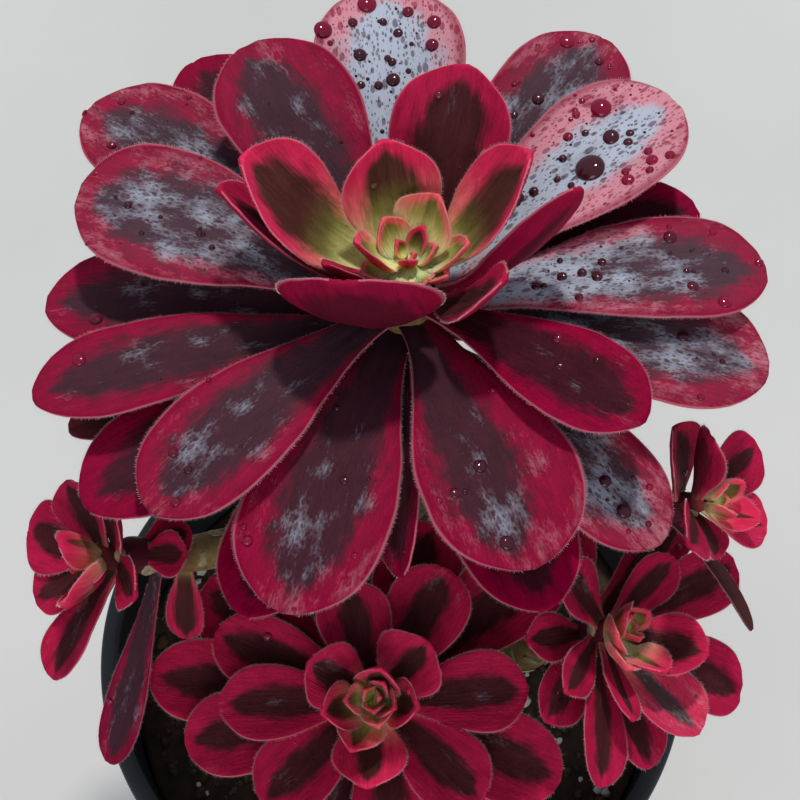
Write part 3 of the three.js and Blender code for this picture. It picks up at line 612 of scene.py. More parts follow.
def blade_tree():
    """Leaf blades by a rule: a ball on each plan point becomes a leaf bent along its own middle line."""
    tree = new_tree("Leaf blades", {
        "Sides": "Int", "Rows": "Int", "Thickness": "Float", "Waviness": "Float", "Ripple height": "Float",
        "Groove depth": "Float", "Tip point": "Float", "Heart": "Vector", "Lean axis": "Vector",
        "Lean": "Float", "Material": "Material",
    })
    enter = add(tree, "NodeGroupInput")
    ball = add(tree, "GeometryNodeMeshUVSphere", [enter["Sides"], enter["Rows"], 1.0])
    place = add(tree, "GeometryNodeInputPosition")
    profile = blade_profile(tree, place[0], enter["Rows"])
    form = ball["Mesh"]
    for name, value in profile.items():
        form = add(tree, "GeometryNodeStoreNamedAttribute",
                   {0: form, "Name": name, "Value": value}, data_type="FLOAT", domain="POINT")[0]
    copies = add(tree, "GeometryNodeInstanceOnPoints", {"Points": enter["Geometry"], "Instance": form})
    real = add(tree, "GeometryNodeRealizeInstances", [copies[0]])

    read = {}
    for name in (*PLAN_VALUES, *profile):
        read[name] = add(tree, STORED, {"Name": name}, data_type="FLOAT")[0]

    # The middle line is a curve from foot to tip, bent towards a point that stands twice the arch above the
    # straight line between them. The blade's cross-section is laid square to it.
    foot = add(tree, "ShaderNodeCombineXYZ", {0: read["root"], 2: read["foot"]})[0]
    tip = add(tree, "ShaderNodeCombineXYZ", {0: read["reach"], 2: read["tip"]})[0]
    centre = add(tree, MIX, {0: 0.5, 4: foot, 5: tip}, data_type="VECTOR")[1]
    raised = add(tree, "ShaderNodeCombineXYZ", {2: read["arch"]})[0]
    middle = add(tree, VECTOR, [raised, (2, 2, 2), centre], operation="MULTIPLY_ADD")
    first = add(tree, MIX, {0: read["along"], 4: foot, 5: middle[0]}, data_type="VECTOR")
    second = add(tree, MIX, {0: read["along"], 4: middle[0], 5: tip}, data_type="VECTOR")
    spine = add(tree, MIX, {0: read["along"], 4: first[1], 5: second[1]}, data_type="VECTOR")[1]
    slope = add(tree, VECTOR, [second[1], first[1]], operation="SUBTRACT")
    forward = add(tree, VECTOR, [slope[0]], operation="NORMALIZE")[0]
    across = add(tree, "ShaderNodeVectorRotate",
                 {"Vector": (0, 1, 0), "Axis": forward, "Angle": read["roll"]})[0]
    up = add(tree, VECTOR, [forward, across], operation="CROSS_PRODUCT")[0]

    # Where a point lies on its flattened leaf, in metres: the patterns of the leaf are read there.
    length = add(tree, MATH, [read["along"], read["reach"]], operation="MULTIPLY")[0]
    breadth = add(tree, MATH, [read["over"], read["width"]], operation="MULTIPLY")[0]
    leaf_place = add(tree, "ShaderNodeCombineXYZ", [length, breadth, read["number"]])[0]
    broad = add(tree, NOISE, {"Vector": leaf_place, "Scale": WAVE_SCALE, "Detail": 1.0})[0]
    fine = add(tree, NOISE, {"Vector": leaf_place, "Scale": BUMP_SCALE, "Detail": 2.0})[0]
    wave = add(tree, MATH, [broad, 0.5], operation="SUBTRACT")[0]
    ripple = add(tree, MATH, [fine, 0.5], operation="SUBTRACT")[0]
    aside, above, beyond_tip = blade_offsets(tree, read, enter, wave, ripple)
    point = spine
    for direction, amount in ((across, aside), (up, above), (forward, beyond_tip)):
        step = add(tree, VECTOR, {0: direction, "Scale": amount}, operation="SCALE")
        point = add(tree, VECTOR, [point, step[0]], operation="ADD")[0]
    turned = add(tree, "ShaderNodeVectorRotate",
                 {"Vector": point, "Axis": (0, 0, 1), "Angle": read["azimuth"]})[0]
    leaned = add(tree, "ShaderNodeVectorRotate",
                 {"Vector": turned, "Axis": enter["Lean axis"], "Angle": enter["Lean"]})[0]
    standing = add(tree, VECTOR, [leaned, enter["Heart"]], operation="ADD")[0]
    kept = add(tree, "GeometryNodeStoreNamedAttribute",
               {0: real[0], "Name": "leaf_place", "Value": leaf_place},
               data_type="FLOAT_VECTOR", domain="POINT")
    bent = add(tree, "GeometryNodeSetPosition", {"Geometry": kept[0], "Position": standing})
    finish_tree(tree, bent[0], enter["Material"])
    return tree


def leaf_plan(name, leaves, roots):
    """The plan mesh of some leaves: a point for each, with its sizes in metres and its angles in radians."""
    floats = {key: [] for key in PLAN_VALUES + LOOK_VALUES}
    for i, (leaf, root) in enumerate(zip(leaves, roots)):
        row = {**leaf._asdict(), "root": root, "cup": leaf.cup or INNER_CUP, "band": leaf.band or LEAF_BAND}
        row["number"] = NUMBER_STEP * (i + len(name))
        for key, values in floats.items():
            factor = MM if key in LENGTHS else math.radians(1) if key in ANGLES else 1
            values.append(row[key] * factor)
    return points_mesh(name, [(0, 0, 0)] * len(leaves), floats)


def bud_leaves(buds, youth):
    """The small leaves of a bud, each a golden angle on from the one before."""
    leaves = []
    for i in range(buds.count):
        age = i / (buds.count - 1)
        leaves.append(Leaf(
            azimuth=i * GOLDEN_ANGLE, reach=between(buds.reach, age), tip=between(buds.tip, math.sqrt(age)),
            foot=between(BUD_FEET, age), width=between(buds.width, age), arch=between(BUD_ARCHES, age),
            youth=between(youth, age), cup=BUD_CUP,
        ))
    return leaves


class Colours:
    """Colours of the leaf pattern, as sRGB hex values."""
    margin = "#820030"
    young_margin = "#D42E5A"
    salmon = "#FB9A86"
    lime = "#F0F3A6"
    stripe = "#3E1220"
    young_stripe = "#5C3A2E"
    green = "#A3AC55"
    underside = "#7A1032"
    dry = "#4A2B2B"
    # The pale film over the margin and over the stripe: partly wax bloom, partly painted sky sheen.
    margin_wax_and_sheen = "#E3A3B2"
    stripe_wax_and_sheen = "#B9C4D8"
    rim = "#E58C9F"


class Pattern:
    """Numbers of the leaf pattern. Its grain is counted to the metre, and the rest are shares."""
    # Streaks run the length of the leaf, 7 mm long and 1.2 mm wide. The mottle is 4 mm across, the grit 1 mm
    # and a patch of rubbed wax 10 mm.
    streaks = (150, 800, 40)
    mottle = 230.0
    grit = 1000.0
    patches = 95.0
    # How the dark stripe widens and closes from foot to tip, as a share of its widest. It stops short of the
    # tip, the mottle and the streaks feather its edge, and it fades from the outer to the inner level.
    stripe = ((0.0, 0.42), (0.25, 0.55), (0.5, 0.88), (0.68, 1.0), (0.84, 0.94), (0.94, 0.8), (1.0, 0.6))
    stop_power = 14.0
    stop_weight = 1.6
    feather_mottle = 0.7
    feather_streak = 0.25
    stripe_outer = 1.78
    stripe_inner = 1.14
    # The colours of a young leaf: how far each climbs with its youth, and where it starts and is full.
    young = {"salmon": (-1.0, 0.20, -0.32), "lime": (-0.85, 0.02, -0.34), "green": (-1.1, 0.05, -0.45)}
    vigour = 2.5
    rosiness = 1.8
    # How much the mottle, the grit and the streaks lighten the flesh, and the painted shade at an old foot,
    # deep in the rosette: how far up it reaches and how dark it gets.
    shade_least = 0.05
    shade_mottle = 0.8
    shade_grit = 0.6
    shade_streak = 0.5
    pit_grit = 0.8
    painted_shade_reach = 0.5
    painted_shade_least = 0.55
    underside = 0.4
    # How much the patches, the streaks and the grit wear the film of wax and painted sheen, and the levels
    # where it starts and is full.
    wear_patch = 1.4
    wear_streak = 0.3
    wear_grit = 0.4
    wax_and_sheen_start = 1.2
    wax_and_sheen_full = 1.9
    # Specks washed out of the wax: their spacing in millimetres, and their largest radius as a share of it.
    specks = ((1.3, 0.45), (3.2, 0.42))
    speck_edge = 0.12
    speck_least = 0.35
    # The thin even breath of the film of wax and painted sheen, and how the film thins at the rim and covers
    # the margin and the stripe.
    breath = 0.35
    breath_most = 0.08
    rim_thin = 0.96
    rim_thick = 0.8
    rim_least = 0.35
    margin_cover = 0.42
    stripe_cover = 0.6
    wax_and_sheen_cover = 0.3
    # The pale line at the rim: where it starts, and how strong it gets.
    line_start = 0.95
    line_most = 0.45


def leaf_stripe(tree, read):
    """The dark stripe, from how far a point is from the stripe's own middle line."""
    profile = add(tree, "ShaderNodeFloatCurve", {"Value": read["along"]})
    shape = profile[0].node.mapping
    curve = shape.curves[0]
    for x, y in Pattern.stripe[1:-1]:
        curve.points.new(x, y)
    curve.points[0].location = Pattern.stripe[0]
    curve.points[len(Pattern.stripe) - 1].location = Pattern.stripe[-1]
    shape.update()
    breadth = add(tree, MATH, [profile[0], read["band"]], operation="MULTIPLY")[0]
    shifted = add(tree, MATH, [read["over"], read["skew"]], operation="SUBTRACT")[0]
    offset = add(tree, MATH, [shifted], operation="ABSOLUTE")[0]
    ratio = add(tree, MATH, [offset, breadth], operation="DIVIDE")[0]
    ending = add(tree, MATH, [read["along"], Pattern.stop_power], operation="POWER")[0]
    closed = add(tree, MATH, [ending, Pattern.stop_weight, ratio], operation="MULTIPLY_ADD")[0]
    wandering = add(tree, MATH, [read["mottle"], Pattern.feather_mottle, closed],
                    operation="MULTIPLY_ADD")[0]
    feathered = add(tree, MATH, [read["streak"], Pattern.feather_streak, wandering],
                    operation="MULTIPLY_ADD")[0]
    levels = {"Value": feathered, "From Min": Pattern.stripe_outer, "From Max": Pattern.stripe_inner}
    return add(tree, RANGE, levels, interpolation_type="SMOOTHSTEP")[0]


def leaf_flesh(tree, read):
    """The bare flesh: a dark stripe in crimson margins, green and salmon when young, uneven all over, and
    painted shade at an old foot.
    """
    # A young leaf is green at its foot and salmon further up. How far up depends on how young it is.
    vigour = add(tree, MATH, [read["youth"], Pattern.vigour], operation="MULTIPLY", use_clamp=True)[0]
    shares = {}
    for name, (climb, low, high) in Pattern.young.items():
        level = add(tree, MATH, [read["youth"], climb, read["along"]], operation="MULTIPLY_ADD")[0]
        share = add(tree, RANGE, {"Value": level, "From Min": low, "From Max": high},
                    interpolation_type="SMOOTHSTEP")[0]
        shares[name] = add(tree, MATH, [share, vigour], operation="MULTIPLY")[0]
    rosy = add(tree, MATH, [read["youth"], Pattern.rosiness], operation="MULTIPLY", use_clamp=True)[0]
    margin = add(tree, MIX, {0: rosy, 6: linear(Colours.margin), 7: linear(Colours.young_margin)},
                 data_type="RGBA")[2]
    for name, code in (("salmon", Colours.salmon), ("lime", Colours.lime)):
        margin = add(tree, MIX, {0: shares[name], 6: margin, 7: linear(code)}, data_type="RGBA")[2]
    middle = add(tree, MIX, {0: read["youth"], 6: linear(Colours.stripe), 7: linear(Colours.young_stripe)},
                 data_type="RGBA")[2]
    for name, code in (("green", Colours.green), ("lime", Colours.lime)):
        middle = add(tree, MIX, {0: shares[name], 6: middle, 7: linear(code)}, data_type="RGBA")[2]
    bare = add(tree, MIX, {0: read["stripe"], 6: margin, 7: middle}, data_type="RGBA")[2]

    # The mottle, the grit and the streaks make it lighter or darker, and painted shade darkens it deep at an
    # old foot.
    uneven = add(tree, MATH, [read["mottle"], Pattern.shade_mottle, Pattern.shade_least],
                 operation="MULTIPLY_ADD")[0]
    uneven = add(tree, MATH, [read["grit"], Pattern.shade_grit, uneven], operation="MULTIPLY_ADD")[0]
    shade = add(tree, MATH, [read["streak"], Pattern.shade_streak, uneven], operation="MULTIPLY_ADD")[0]
    # Painted shade: an old leaf is darker towards its foot, deep in the rosette.
    grown = add(tree, MATH, [read["along"], read["youth"]], operation="ADD")[0]
    painted_foot_shade = add(tree, RANGE, {"Value": grown, "From Max": Pattern.painted_shade_reach, "To Min": Pattern.painted_shade_least})[0]
    shade = add(tree, MATH, [shade, painted_foot_shade], operation="MULTIPLY")[0]
    grey = add(tree, "ShaderNodeCombineXYZ", [shade, shade, shade])[0]
    bare = add(tree, MIX, {0: 1.0, 6: bare, 7: grey}, data_type="RGBA", blend_type="MULTIPLY")[2]

    # The underside is a duller crimson, and a dry leaf is brown.
    under = add(tree, MIX, {0: Pattern.underside, 6: bare, 7: linear(Colours.underside)},
                data_type="RGBA")[2]
    bare = add(tree, MIX, {0: read["upper"], 6: under, 7: bare}, data_type="RGBA")[2]
    return add(tree, MIX, {0: read["dry"], 6: bare, 7: linear(Colours.dry)}, data_type="RGBA")[2]


def leaf_wax_and_sheen(tree, read, place):
    """The pale film on the upper face, wax bloom and painted sky sheen, rubbed off in patches and washed off
    in specks.
    """
    patch = add(tree, NOISE, {"Vector": place, "Scale": Pattern.patches, "Detail": 3.0})["Fac"]
    rubbed = add(tree, MATH, [patch, Pattern.wear_patch, read["wax"]], operation="MULTIPLY_ADD")[0]
    outward = add(tree, MATH, [0.5, read["along"]], operation="SUBTRACT")[0]
    placed = add(tree, MATH, [outward, read["wane"], rubbed], operation="MULTIPLY_ADD")[0]
    worn = add(tree, MATH, [read["streak"], Pattern.wear_streak, placed], operation="MULTIPLY_ADD")[0]
    gritty = add(tree, MATH, [read["grit"], Pattern.wear_grit, worn], operation="MULTIPLY_ADD")[0]
    film = add(tree, RANGE, {"Value": gritty, "From Min": Pattern.wax_and_sheen_start, "From Max": Pattern.wax_and_sheen_full},
               interpolation_type="SMOOTHSTEP")[0]
    for spacing, radius in Pattern.specks:
        cells = add(tree, "ShaderNodeTexVoronoi", {"Vector": place, "Scale": 1 / (spacing * MM)})
        reach = add(tree, MATH, [cells["Color"], radius], operation="MULTIPLY")[0]
        outside = add(tree, MATH, [cells["Distance"], reach], operation="SUBTRACT")[0]
        kept = add(tree, RANGE, {
            "Value": outside, "From Min": 0.0, "From Max": Pattern.speck_edge, "To Min": Pattern.speck_least,
        })[0]
        film = add(tree, MATH, [film, kept], operation="MULTIPLY")[0]
    # Where the patches are rubbed off a thin even breath of the film of wax and painted sheen is still left.
    breath = add(tree, MATH, [read["wax"], Pattern.breath], operation="MULTIPLY")[0]
    breath = add(tree, MATH, [breath, Pattern.breath_most], operation="MINIMUM")[0]
    film = add(tree, MATH, [film, breath], operation="MAXIMUM")[0]
    film = add(tree, MATH, [film, read["upper"]], operation="MULTIPLY")[0]
    inland = add(tree, RANGE, {
        "Value": read["edge"], "From Min": Pattern.rim_thin, "From Max": Pattern.rim_thick,
        "To Min": Pattern.rim_least,
    }, interpolation_type="SMOOTHSTEP")[0]
    film = add(tree, MATH, [film, inland], operation="MULTIPLY")[0]
    cover = add(tree, RANGE, {
        "Value": read["stripe"], "To Min": Pattern.margin_cover, "To Max": Pattern.stripe_cover,
    })[0]
    cover = add(tree, MATH, [read["wax"], Pattern.wax_and_sheen_cover, cover], operation="MULTIPLY_ADD")[0]
    return add(tree, MATH, [film, cover], operation="MULTIPLY")[0]


def leaf_colouring():
    """A leaf's pattern: dark stripe, crimson margins, green foot when young, painted foot shade, wax and
    painted sheen, pale rim.
    """
    tree = bpy.data.node_groups.new("Leaf colouring", "ShaderNodeTree")
    for socket in ("Colour", "Bare colour"):
        tree.interface.new_socket(socket, in_out="OUTPUT", socket_type="NodeSocketColor")
    for socket in ("Wax and sheen", "Grain", "Youth"):
        tree.interface.new_socket(socket, in_out="OUTPUT", socket_type="NodeSocketFloat")
    read = {}
    for name in ("along", "side", "over", "lift", *LOOK_VALUES):
        read[name] = add(tree, "ShaderNodeAttribute", attribute_name=name)["Fac"]
    place = add(tree, "ShaderNodeAttribute", attribute_name="leaf_place")["Vector"]
    lengthwise = add(tree, "ShaderNodeMapping", {"Vector": place, "Scale": Pattern.streaks})[0]
    read["streak"] = add(tree, NOISE, {"Vector": lengthwise, "Scale": 1.0, "Detail": 3.0})["Fac"]
    read["mottle"] = add(tree, NOISE, {"Vector": place, "Scale": Pattern.mottle, "Detail": 2.0})["Fac"]
    read["grit"] = add(tree, NOISE, {"Vector": place, "Scale": Pattern.grit, "Detail": 2.0})["Fac"]
    read["upper"] = add(tree, MATH, [read["lift"], 0.0], operation="GREATER_THAN")[0]
    read["edge"] = add(tree, MATH, [read["side"]], operation="ABSOLUTE")[0]
    read["stripe"] = leaf_stripe(tree, read)

    bare = leaf_flesh(tree, read)
    film = leaf_wax_and_sheen(tree, read, place)
    # The pale film's colour, partly wax bloom and partly painted sky sheen.
    pale = add(tree, MIX, {0: read["stripe"], 6: linear(Colours.margin_wax_and_sheen), 7: linear(Colours.stripe_wax_and_sheen)},
               data_type="RGBA")[2]
    colour = add(tree, MIX, {0: film, 6: bare, 7: pale}, data_type="RGBA")[2]
    rim = add(tree, RANGE, {
        "Value": read["edge"], "From Min": Pattern.line_start, "From Max": 1.0, "To Max": Pattern.line_most,
    }, interpolation_type="SMOOTHSTEP")[0]
    colour = add(tree, MIX, {0: rim, 6: colour, 7: linear(Colours.rim)}, data_type="RGBA")[2]
    pitted = add(tree, MATH, [read["grit"], Pattern.pit_grit, read["streak"]], operation="MULTIPLY_ADD")[0]
    add(tree, "NodeGroupOutput", {
        "Colour": colour, "Bare colour": bare, "Wax and sheen": film, "Grain": pitted, "Youth": read["youth"],
    })
    return tree


def leaf_material(name, colouring):
    """Fleshy leaf with a faintly waxy skin: dull satin where bare, matt and pale where wax and painted sheen
    cover it.
    """
    material = new_material(name)
    tree = material.node_tree
    pattern = add(tree, "ShaderNodeGroup", node_tree=colouring)
    roughness = add(tree, RANGE, {"Value": pattern["Wax and sheen"], "To Min": 0.5, "To Max": 0.75})[0]
    glow = add(tree, RANGE, {"Value": pattern["Youth"], "To Min": 0.05, "To Max": 0.6})[0]
    bump = add(tree, "ShaderNodeBump", {"Height": pattern["Grain"], "Strength": 0.5, "Distance": 0.0004})
    skin = add(tree, "ShaderNodeBsdfPrincipled", {
        "Base Color": pattern["Colour"], "Roughness": roughness, "IOR": 1.42, "Specular IOR Level": 0.04,
        "Normal": bump[0], "Subsurface Weight": glow, "Subsurface Radius": (1.0, 0.45, 0.25),
        "Subsurface Scale": 0.004,
    })
    add(tree, "ShaderNodeOutputMaterial", {"Surface": skin[0]})
    return material


def drop_material(name, colouring):
    """Water drop: a clear bead that shows the dark leaf under it and a sharp glint."""
    material = new_material(name)
    tree = material.node_tree
    pattern = add(tree, "ShaderNodeGroup", node_tree=colouring)
    deep = add(tree, MIX, {0: 0.12, 6: pattern["Bare colour"], 7: linear("#3A0A18")}, data_type="RGBA")
    water = add(tree, "ShaderNodeBsdfPrincipled", {
        "Base Color": deep[2], "Roughness": 0.04, "IOR": 1.333, "Coat Weight": 0.6,
        "Coat Roughness": 0.02, "Coat IOR": 1.333,
    })
    add(tree, "ShaderNodeOutputMaterial", {"Surface": water[0]})
    return material


def hair_material(name):
    """Fine pale hairs of the leaf's rim: dry and translucent, so they catch the light."""
    material = new_material(name)
    tree = material.node_tree
    place = add(tree, "ShaderNodeTexCoord")["Object"]
    change = add(tree, NOISE, {"Vector": place, "Scale": 300.0})["Fac"]
    colour = add(tree, MIX, {0: change, 6: linear("#E9B4BC"), 7: linear("#F6DCDC")}, data_type="RGBA")
    hair = add(tree, "ShaderNodeBsdfPrincipled", {"Base Color": colour[2], "Roughness": 0.55, "IOR": 1.5})
    add(tree, "ShaderNodeOutputMaterial", {"Surface": hair[0]})
    return material


def mottled(tree, dark, light, grains):
    """A mottle from a dark to a light colour, so many grains to the metre: its height and its colour."""
    place = add(tree, "ShaderNodeTexCoord")["Object"]
    height = add(tree, NOISE, {"Vector": place, "Scale": grains, "Detail": 4.0})["Fac"]
    share = add(tree, RANGE, {"Value": height, "From Min": 0.3, "From Max": 0.7})[0]
    return height, add(tree, MIX, {0: share, 6: linear(dark), 7: linear(light)}, data_type="RGBA")[2]


def matt_surface(tree, colour, height, depth, roughness, shine=0.5):
    """Ends a material as a matt surface with bumps of a depth in metres."""
    bump = add(tree, "ShaderNodeBump", {"Height": height, "Strength": 0.6, "Distance": depth})
    surface = add(tree, "ShaderNodeBsdfPrincipled", {
        "Base Color": colour, "Roughness": roughness, "IOR": 1.45, "Specular IOR Level": shine,
        "Normal": bump[0],
    })
    add(tree, "ShaderNodeOutputMaterial", {"Surface": surface[0]})


# Mottled materials: name, dark and light colour, grains to the metre, roughness, and depth of the bumps.
# Moulded plastic is nearly black and almost smooth, with a low broad sheen.
PLASTIC = ("Polypropylene, moulded black", "#1F2227", "#2B2F36", 60.0, 0.42, 0.00004)
# Damp soil is deep brown and lumpy, and takes up the light; its colours are darkened further as painted shade
# deep in the pot.
SHADED_EARTH = ("Potting soil, damp", "#1B120D", "#3B2A20", 220.0, 0.9, 0.0008)
# Bark is a warmer and lighter brown than the soil that it lies on.
BARK = ("Bark crumbs", "#2A1B12", "#5A4230", 400.0, 0.85, 0.0003)
# Perlite is chalky white, and stands out as light specks.
PERLITE = ("Perlite grains", "#B9B4A8", "#E4E1DA", 700.0, 0.8, 0.0002)
# Cork is paler and drier than the bark round it.
CORK = ("Leaf scars, corky", "#6E6149", "#A39776", 500.0, 0.8, 0.0002)
# The floor is an even pale grey with no shine.
FLOOR = ("Pale floor, matt", "#D2D4D4", "#DADCDC", 6.0, 0.85, 0.0004)


def ground_material(name, dark, light, grains, roughness, depth):
    """A matt material mottled from a dark to a light colour, with bumps of the same grain."""
    material = new_material(name)
    tree = material.node_tree
    height, colour = mottled(tree, dark, light, grains)
    matt_surface(tree, colour, height, depth, roughness)
    return material


def stem_material(name):
    """Woody stem: dull grey-olive bark, crimson on the young neck of a head and lighter in its heart."""
    material = new_material(name)
    tree = material.node_tree
    height, colour = mottled(tree, "#57442C", "#8F7A4C", 260.0)
    fresh = add(tree, "ShaderNodeAttribute", attribute_name="fresh")["Fac"]
    for code, low, high in (("#4A1424", 0.02, 0.3), ("#8E3A3C", 0.86, 0.97)):
        part = add(tree, RANGE, {"Value": fresh, "From Min": low, "From Max": high})[0]
        colour = add(tree, MIX, {0: part, 6: colour, 7: linear(code)}, data_type="RGBA")[2]
    matt_surface(tree, colour, height, 0.0005, 0.75, shine=0.2)
    return material


def smooth_path(points, steps):
    """A smooth curve through points (centripetal Catmull-Rom): even points, directions and distances."""
    known = np.array(points, float)
    known = np.vstack([2 * known[0] - known[1], known, 2 * known[-1] - known[-2]])
    fine = []
    for p0, p1, p2, p3 in zip(known, known[1:], known[2:], known[3:]):
        gaps = [max(np.linalg.norm(b - a) ** 0.5, SHORTEST_GAP) for a, b in ((p0, p1), (p1, p2), (p2, p3))]
        start = ((p1 - p0) / gaps[0] - (p2 - p0) / (gaps[0] + gaps[1]) + (p2 - p1) / gaps[1]) * gaps[1]
        end = ((p2 - p1) / gaps[1] - (p3 - p1) / (gaps[1] + gaps[2]) + (p3 - p2) / gaps[2]) * gaps[1]
        for t in np.linspace(0, 1, PATH_STEPS, endpoint=False):
            square, cube = t * t, t * t * t
            fine.append((2 * cube - 3 * square + 1) * p1 + (cube - 2 * square + t) * start
                        + (3 * square - 2 * cube) * p2 + (cube - square) * end)
    fine = np.array([*fine, known[-2]])
    travelled = np.concatenate([[0], np.cumsum(np.linalg.norm(np.diff(fine, axis=0), axis=1))])
    even = np.linspace(0, travelled[-1], steps)
    path = np.stack([np.interp(even, travelled, fine[:, i]) for i in range(3)], axis=1)
    along = np.gradient(path, axis=0)
    return path, along / np.linalg.norm(along, axis=1)[:, None], even


def path_frames(along):
    """Two directions square to the path at each of its points, carried along without twist."""
    side = np.cross(along[0], (0, 1, 0))
    sides = []
    for direction in along:
        side = side - direction * np.dot(side, direction)
        side = side / np.linalg.norm(side)
        sides.append(side)
    sides = np.array(sides)
    return sides, np.cross(along, sides)


def stem_shape(points, radius_at, steps, sides):
    """Points and faces of a closed round stem along a path, with a slightly uneven wall."""
    path, along, _ = smooth_path(points, steps)
    first, second = path_frames(along)
    angles = 2 * math.pi * np.arange(sides) / sides
    rows = []
    for i, (place, one, two) in enumerate(zip(path, first, second)):
        share = i / (steps - 1)
        uneven = 1
        for height, count, twist in STEM_WAVES:
            uneven = uneven + height * np.sin(count * angles + twist * share)
        radius = radius_at(share) * uneven
        rows.append(place + np.outer(radius * np.cos(angles), one) + np.outer(radius * np.sin(angles), two))
    points = np.vstack([*rows, path[:1], path[-1:]])
    faces = []
    for i in range(steps - 1):
        for j in range(sides):
            k = (j + 1) % sides
            faces.append((i * sides + j, i * sides + k, (i + 1) * sides + k, (i + 1) * sides + j))
    low, high = len(points) - 2, len(points) - 1
    last = (steps - 1) * sides
    faces += [(low, (j + 1) % sides, j) for j in range(sides)]
    faces += [(high, last + j, last + (j + 1) % sides) for j in range(sides)]
    return points, faces


def lean_matrix(head):
    """Where a side head stands and how it leans, in millimetres."""
    heading = math.radians(head.heading)
    axis = Vector((-math.sin(heading), math.cos(heading), 0))
    return Matrix.Translation(head.heart) @ Matrix.Rotation(math.radians(head.lean), 4, axis)


def trunk_radius(share):
    """Radius of the trunk along it: it thins slowly, and closes below the youngest leaves."""
    if share < TRUNK_CLOSING:
        return TRUNK_RADIUS * (TRUNK_FLARE - TRUNK_THINNING * share)
    return between((TRUNK_SHOULDER, TRUNK_TOP), (share - TRUNK_CLOSING) / (1 - TRUNK_CLOSING))


def branch_route(head):
    """Middle line of a branch, which runs on into the head as its core."""
    matrix = lean_matrix(head)
    heights = (-head.depth - NECK_OVERLAP, -head.depth, -head.depth / 2, -CORE_DEPTH)
    return [Vector(p) for p in head.branch] + [matrix @ Vector((0, 0, height)) for height in heights]


def branch_radius(share):
    """Radius of a branch: swollen where it leaves the trunk and closing in the head."""
    if share < BRANCH_CLOSING:
        return between((BRANCH_RADIUS * BRANCH_FLARE, NECK_RADIUS * NECK_START), share / BRANCH_CLOSING)
    return NECK_RADIUS * (NECK_START - NECK_THINNING * (share - BRANCH_CLOSING) / (1 - BRANCH_CLOSING))


def scar_places(points, radius_at, make):
    """Places, directions and sizes of the scars that old leaves left on a stem, a golden angle apart."""
    path, along, even = smooth_path(points, SCAR_STEPS)
    first, second = path_frames(along)
    places, facings, sizes = [], [], []
    for n in range(int((even[-1] - make.start) / make.spacing)):
        i = int(np.searchsorted(even, make.start + n * make.spacing))
        angle = math.radians(GOLDEN_ANGLE * n)
        out = first[i] * math.cos(angle) + second[i] * math.sin(angle)
        places.append((path[i] + out * radius_at(i / (len(path) - 1)) * SCAR_SINK) * MM)
        facings.append(out)
        kind = (n * SCAR_SHUFFLE) % SCAR_KINDS
        sizes.append(make.size * (SCAR_LEAST + SCAR_SPREAD * kind / SCAR_KINDS) * MM)
    return places, facings, sizes


def lay_forms(tree, enter, points, turn, size):
    """Ends a tree with its form on each point, turned, as large as the point's size and flattened."""
    form = add(tree, "GeometryNodeObjectInfo", {"Object": enter["Form"]})["Geometry"]
    height = add(tree, MATH, [size, enter["Flatness"]], operation="MULTIPLY")[0]
    scale = add(tree, "ShaderNodeCombineXYZ", [size, size, height])[0]
    copies = add(tree, "GeometryNodeInstanceOnPoints", {
        "Points": points, "Instance": form, "Rotation": turn, "Scale": scale,
    })
    finish_tree(tree, copies[0], enter["Material"])


def placed_tree():
    """A form on each plan point, turned to the point's own direction and as large as its own size."""
    tree = new_tree("Placed forms", {"Form": "Object", "Flatness": "Float", "Material": "Material"})
    enter = add(tree, "NodeGroupInput")
    facing = add(tree, STORED, {"Name": "facing"}, data_type="FLOAT_VECTOR")[0]
    size = add(tree, STORED, {"Name": "size"}, data_type="FLOAT")[0]
    turn = add(tree, "FunctionNodeAlignRotationToVector", {"Vector": facing}, axis="Z")[0]
    lay_forms(tree, enter, enter["Geometry"], turn, size)
    return tree


def scattered_tree():
    """Forms strewn over surfaces at random, more of them where the film of wax and painted sheen is stronger.
    """
    tree = new_tree("Strewn drops", {
        "Surfaces": "Collection", "Form": "Object", "Density": "Float", "Spacing": "Float",
        "Smallest": "Float", "Largest": "Float", "Flatness": "Float", "Seed": "Int", "Material": "Material",
    })
    enter = add(tree, "NodeGroupInput")
    group = add(tree, "GeometryNodeCollectionInfo", {"Collection": enter["Surfaces"]})[0]
    skin = add(tree, "GeometryNodeRealizeInstances", [group])[0]
    read = {}
    for name in ("wax", "lift", "along"):
        read[name] = add(tree, STORED, {"Name": name}, data_type="FLOAT")[0]
    top_face = add(tree, MATH, [read["lift"], DROP_LIFT], operation="GREATER_THAN")[0]
    wetness = add(tree, MATH, [read["wax"], BARE_WETNESS], operation="ADD")[0]
    top_wetness = add(tree, MATH, [wetness, top_face], operation="MULTIPLY")[0]
    outer = add(tree, MATH, [read["along"], DROP_START], operation="GREATER_THAN")[0]
    factor = add(tree, MATH, [top_wetness, outer], operation="MULTIPLY")[0]
    spread = add(tree, "GeometryNodeDistributePointsOnFaces", {
        "Mesh": skin, "Distance Min": enter["Spacing"], "Density Max": enter["Density"],
        "Density Factor": factor, "Seed": enter["Seed"],
    }, distribute_method="POISSON")
    chance = add(tree, "FunctionNodeRandomValue", {2: 0.0, 3: 1.0, "Seed": enter["Seed"]},
                 data_type="FLOAT")
    rare = add(tree, MATH, [chance[1], DROP_RARITY], operation="POWER")[0]
    size = add(tree, RANGE, {"Value": rare, "To Min": enter["Smallest"], "To Max": enter["Largest"]})[0]
    lay_forms(tree, enter, spread["Points"], spread["Rotation"], size)
    return tree


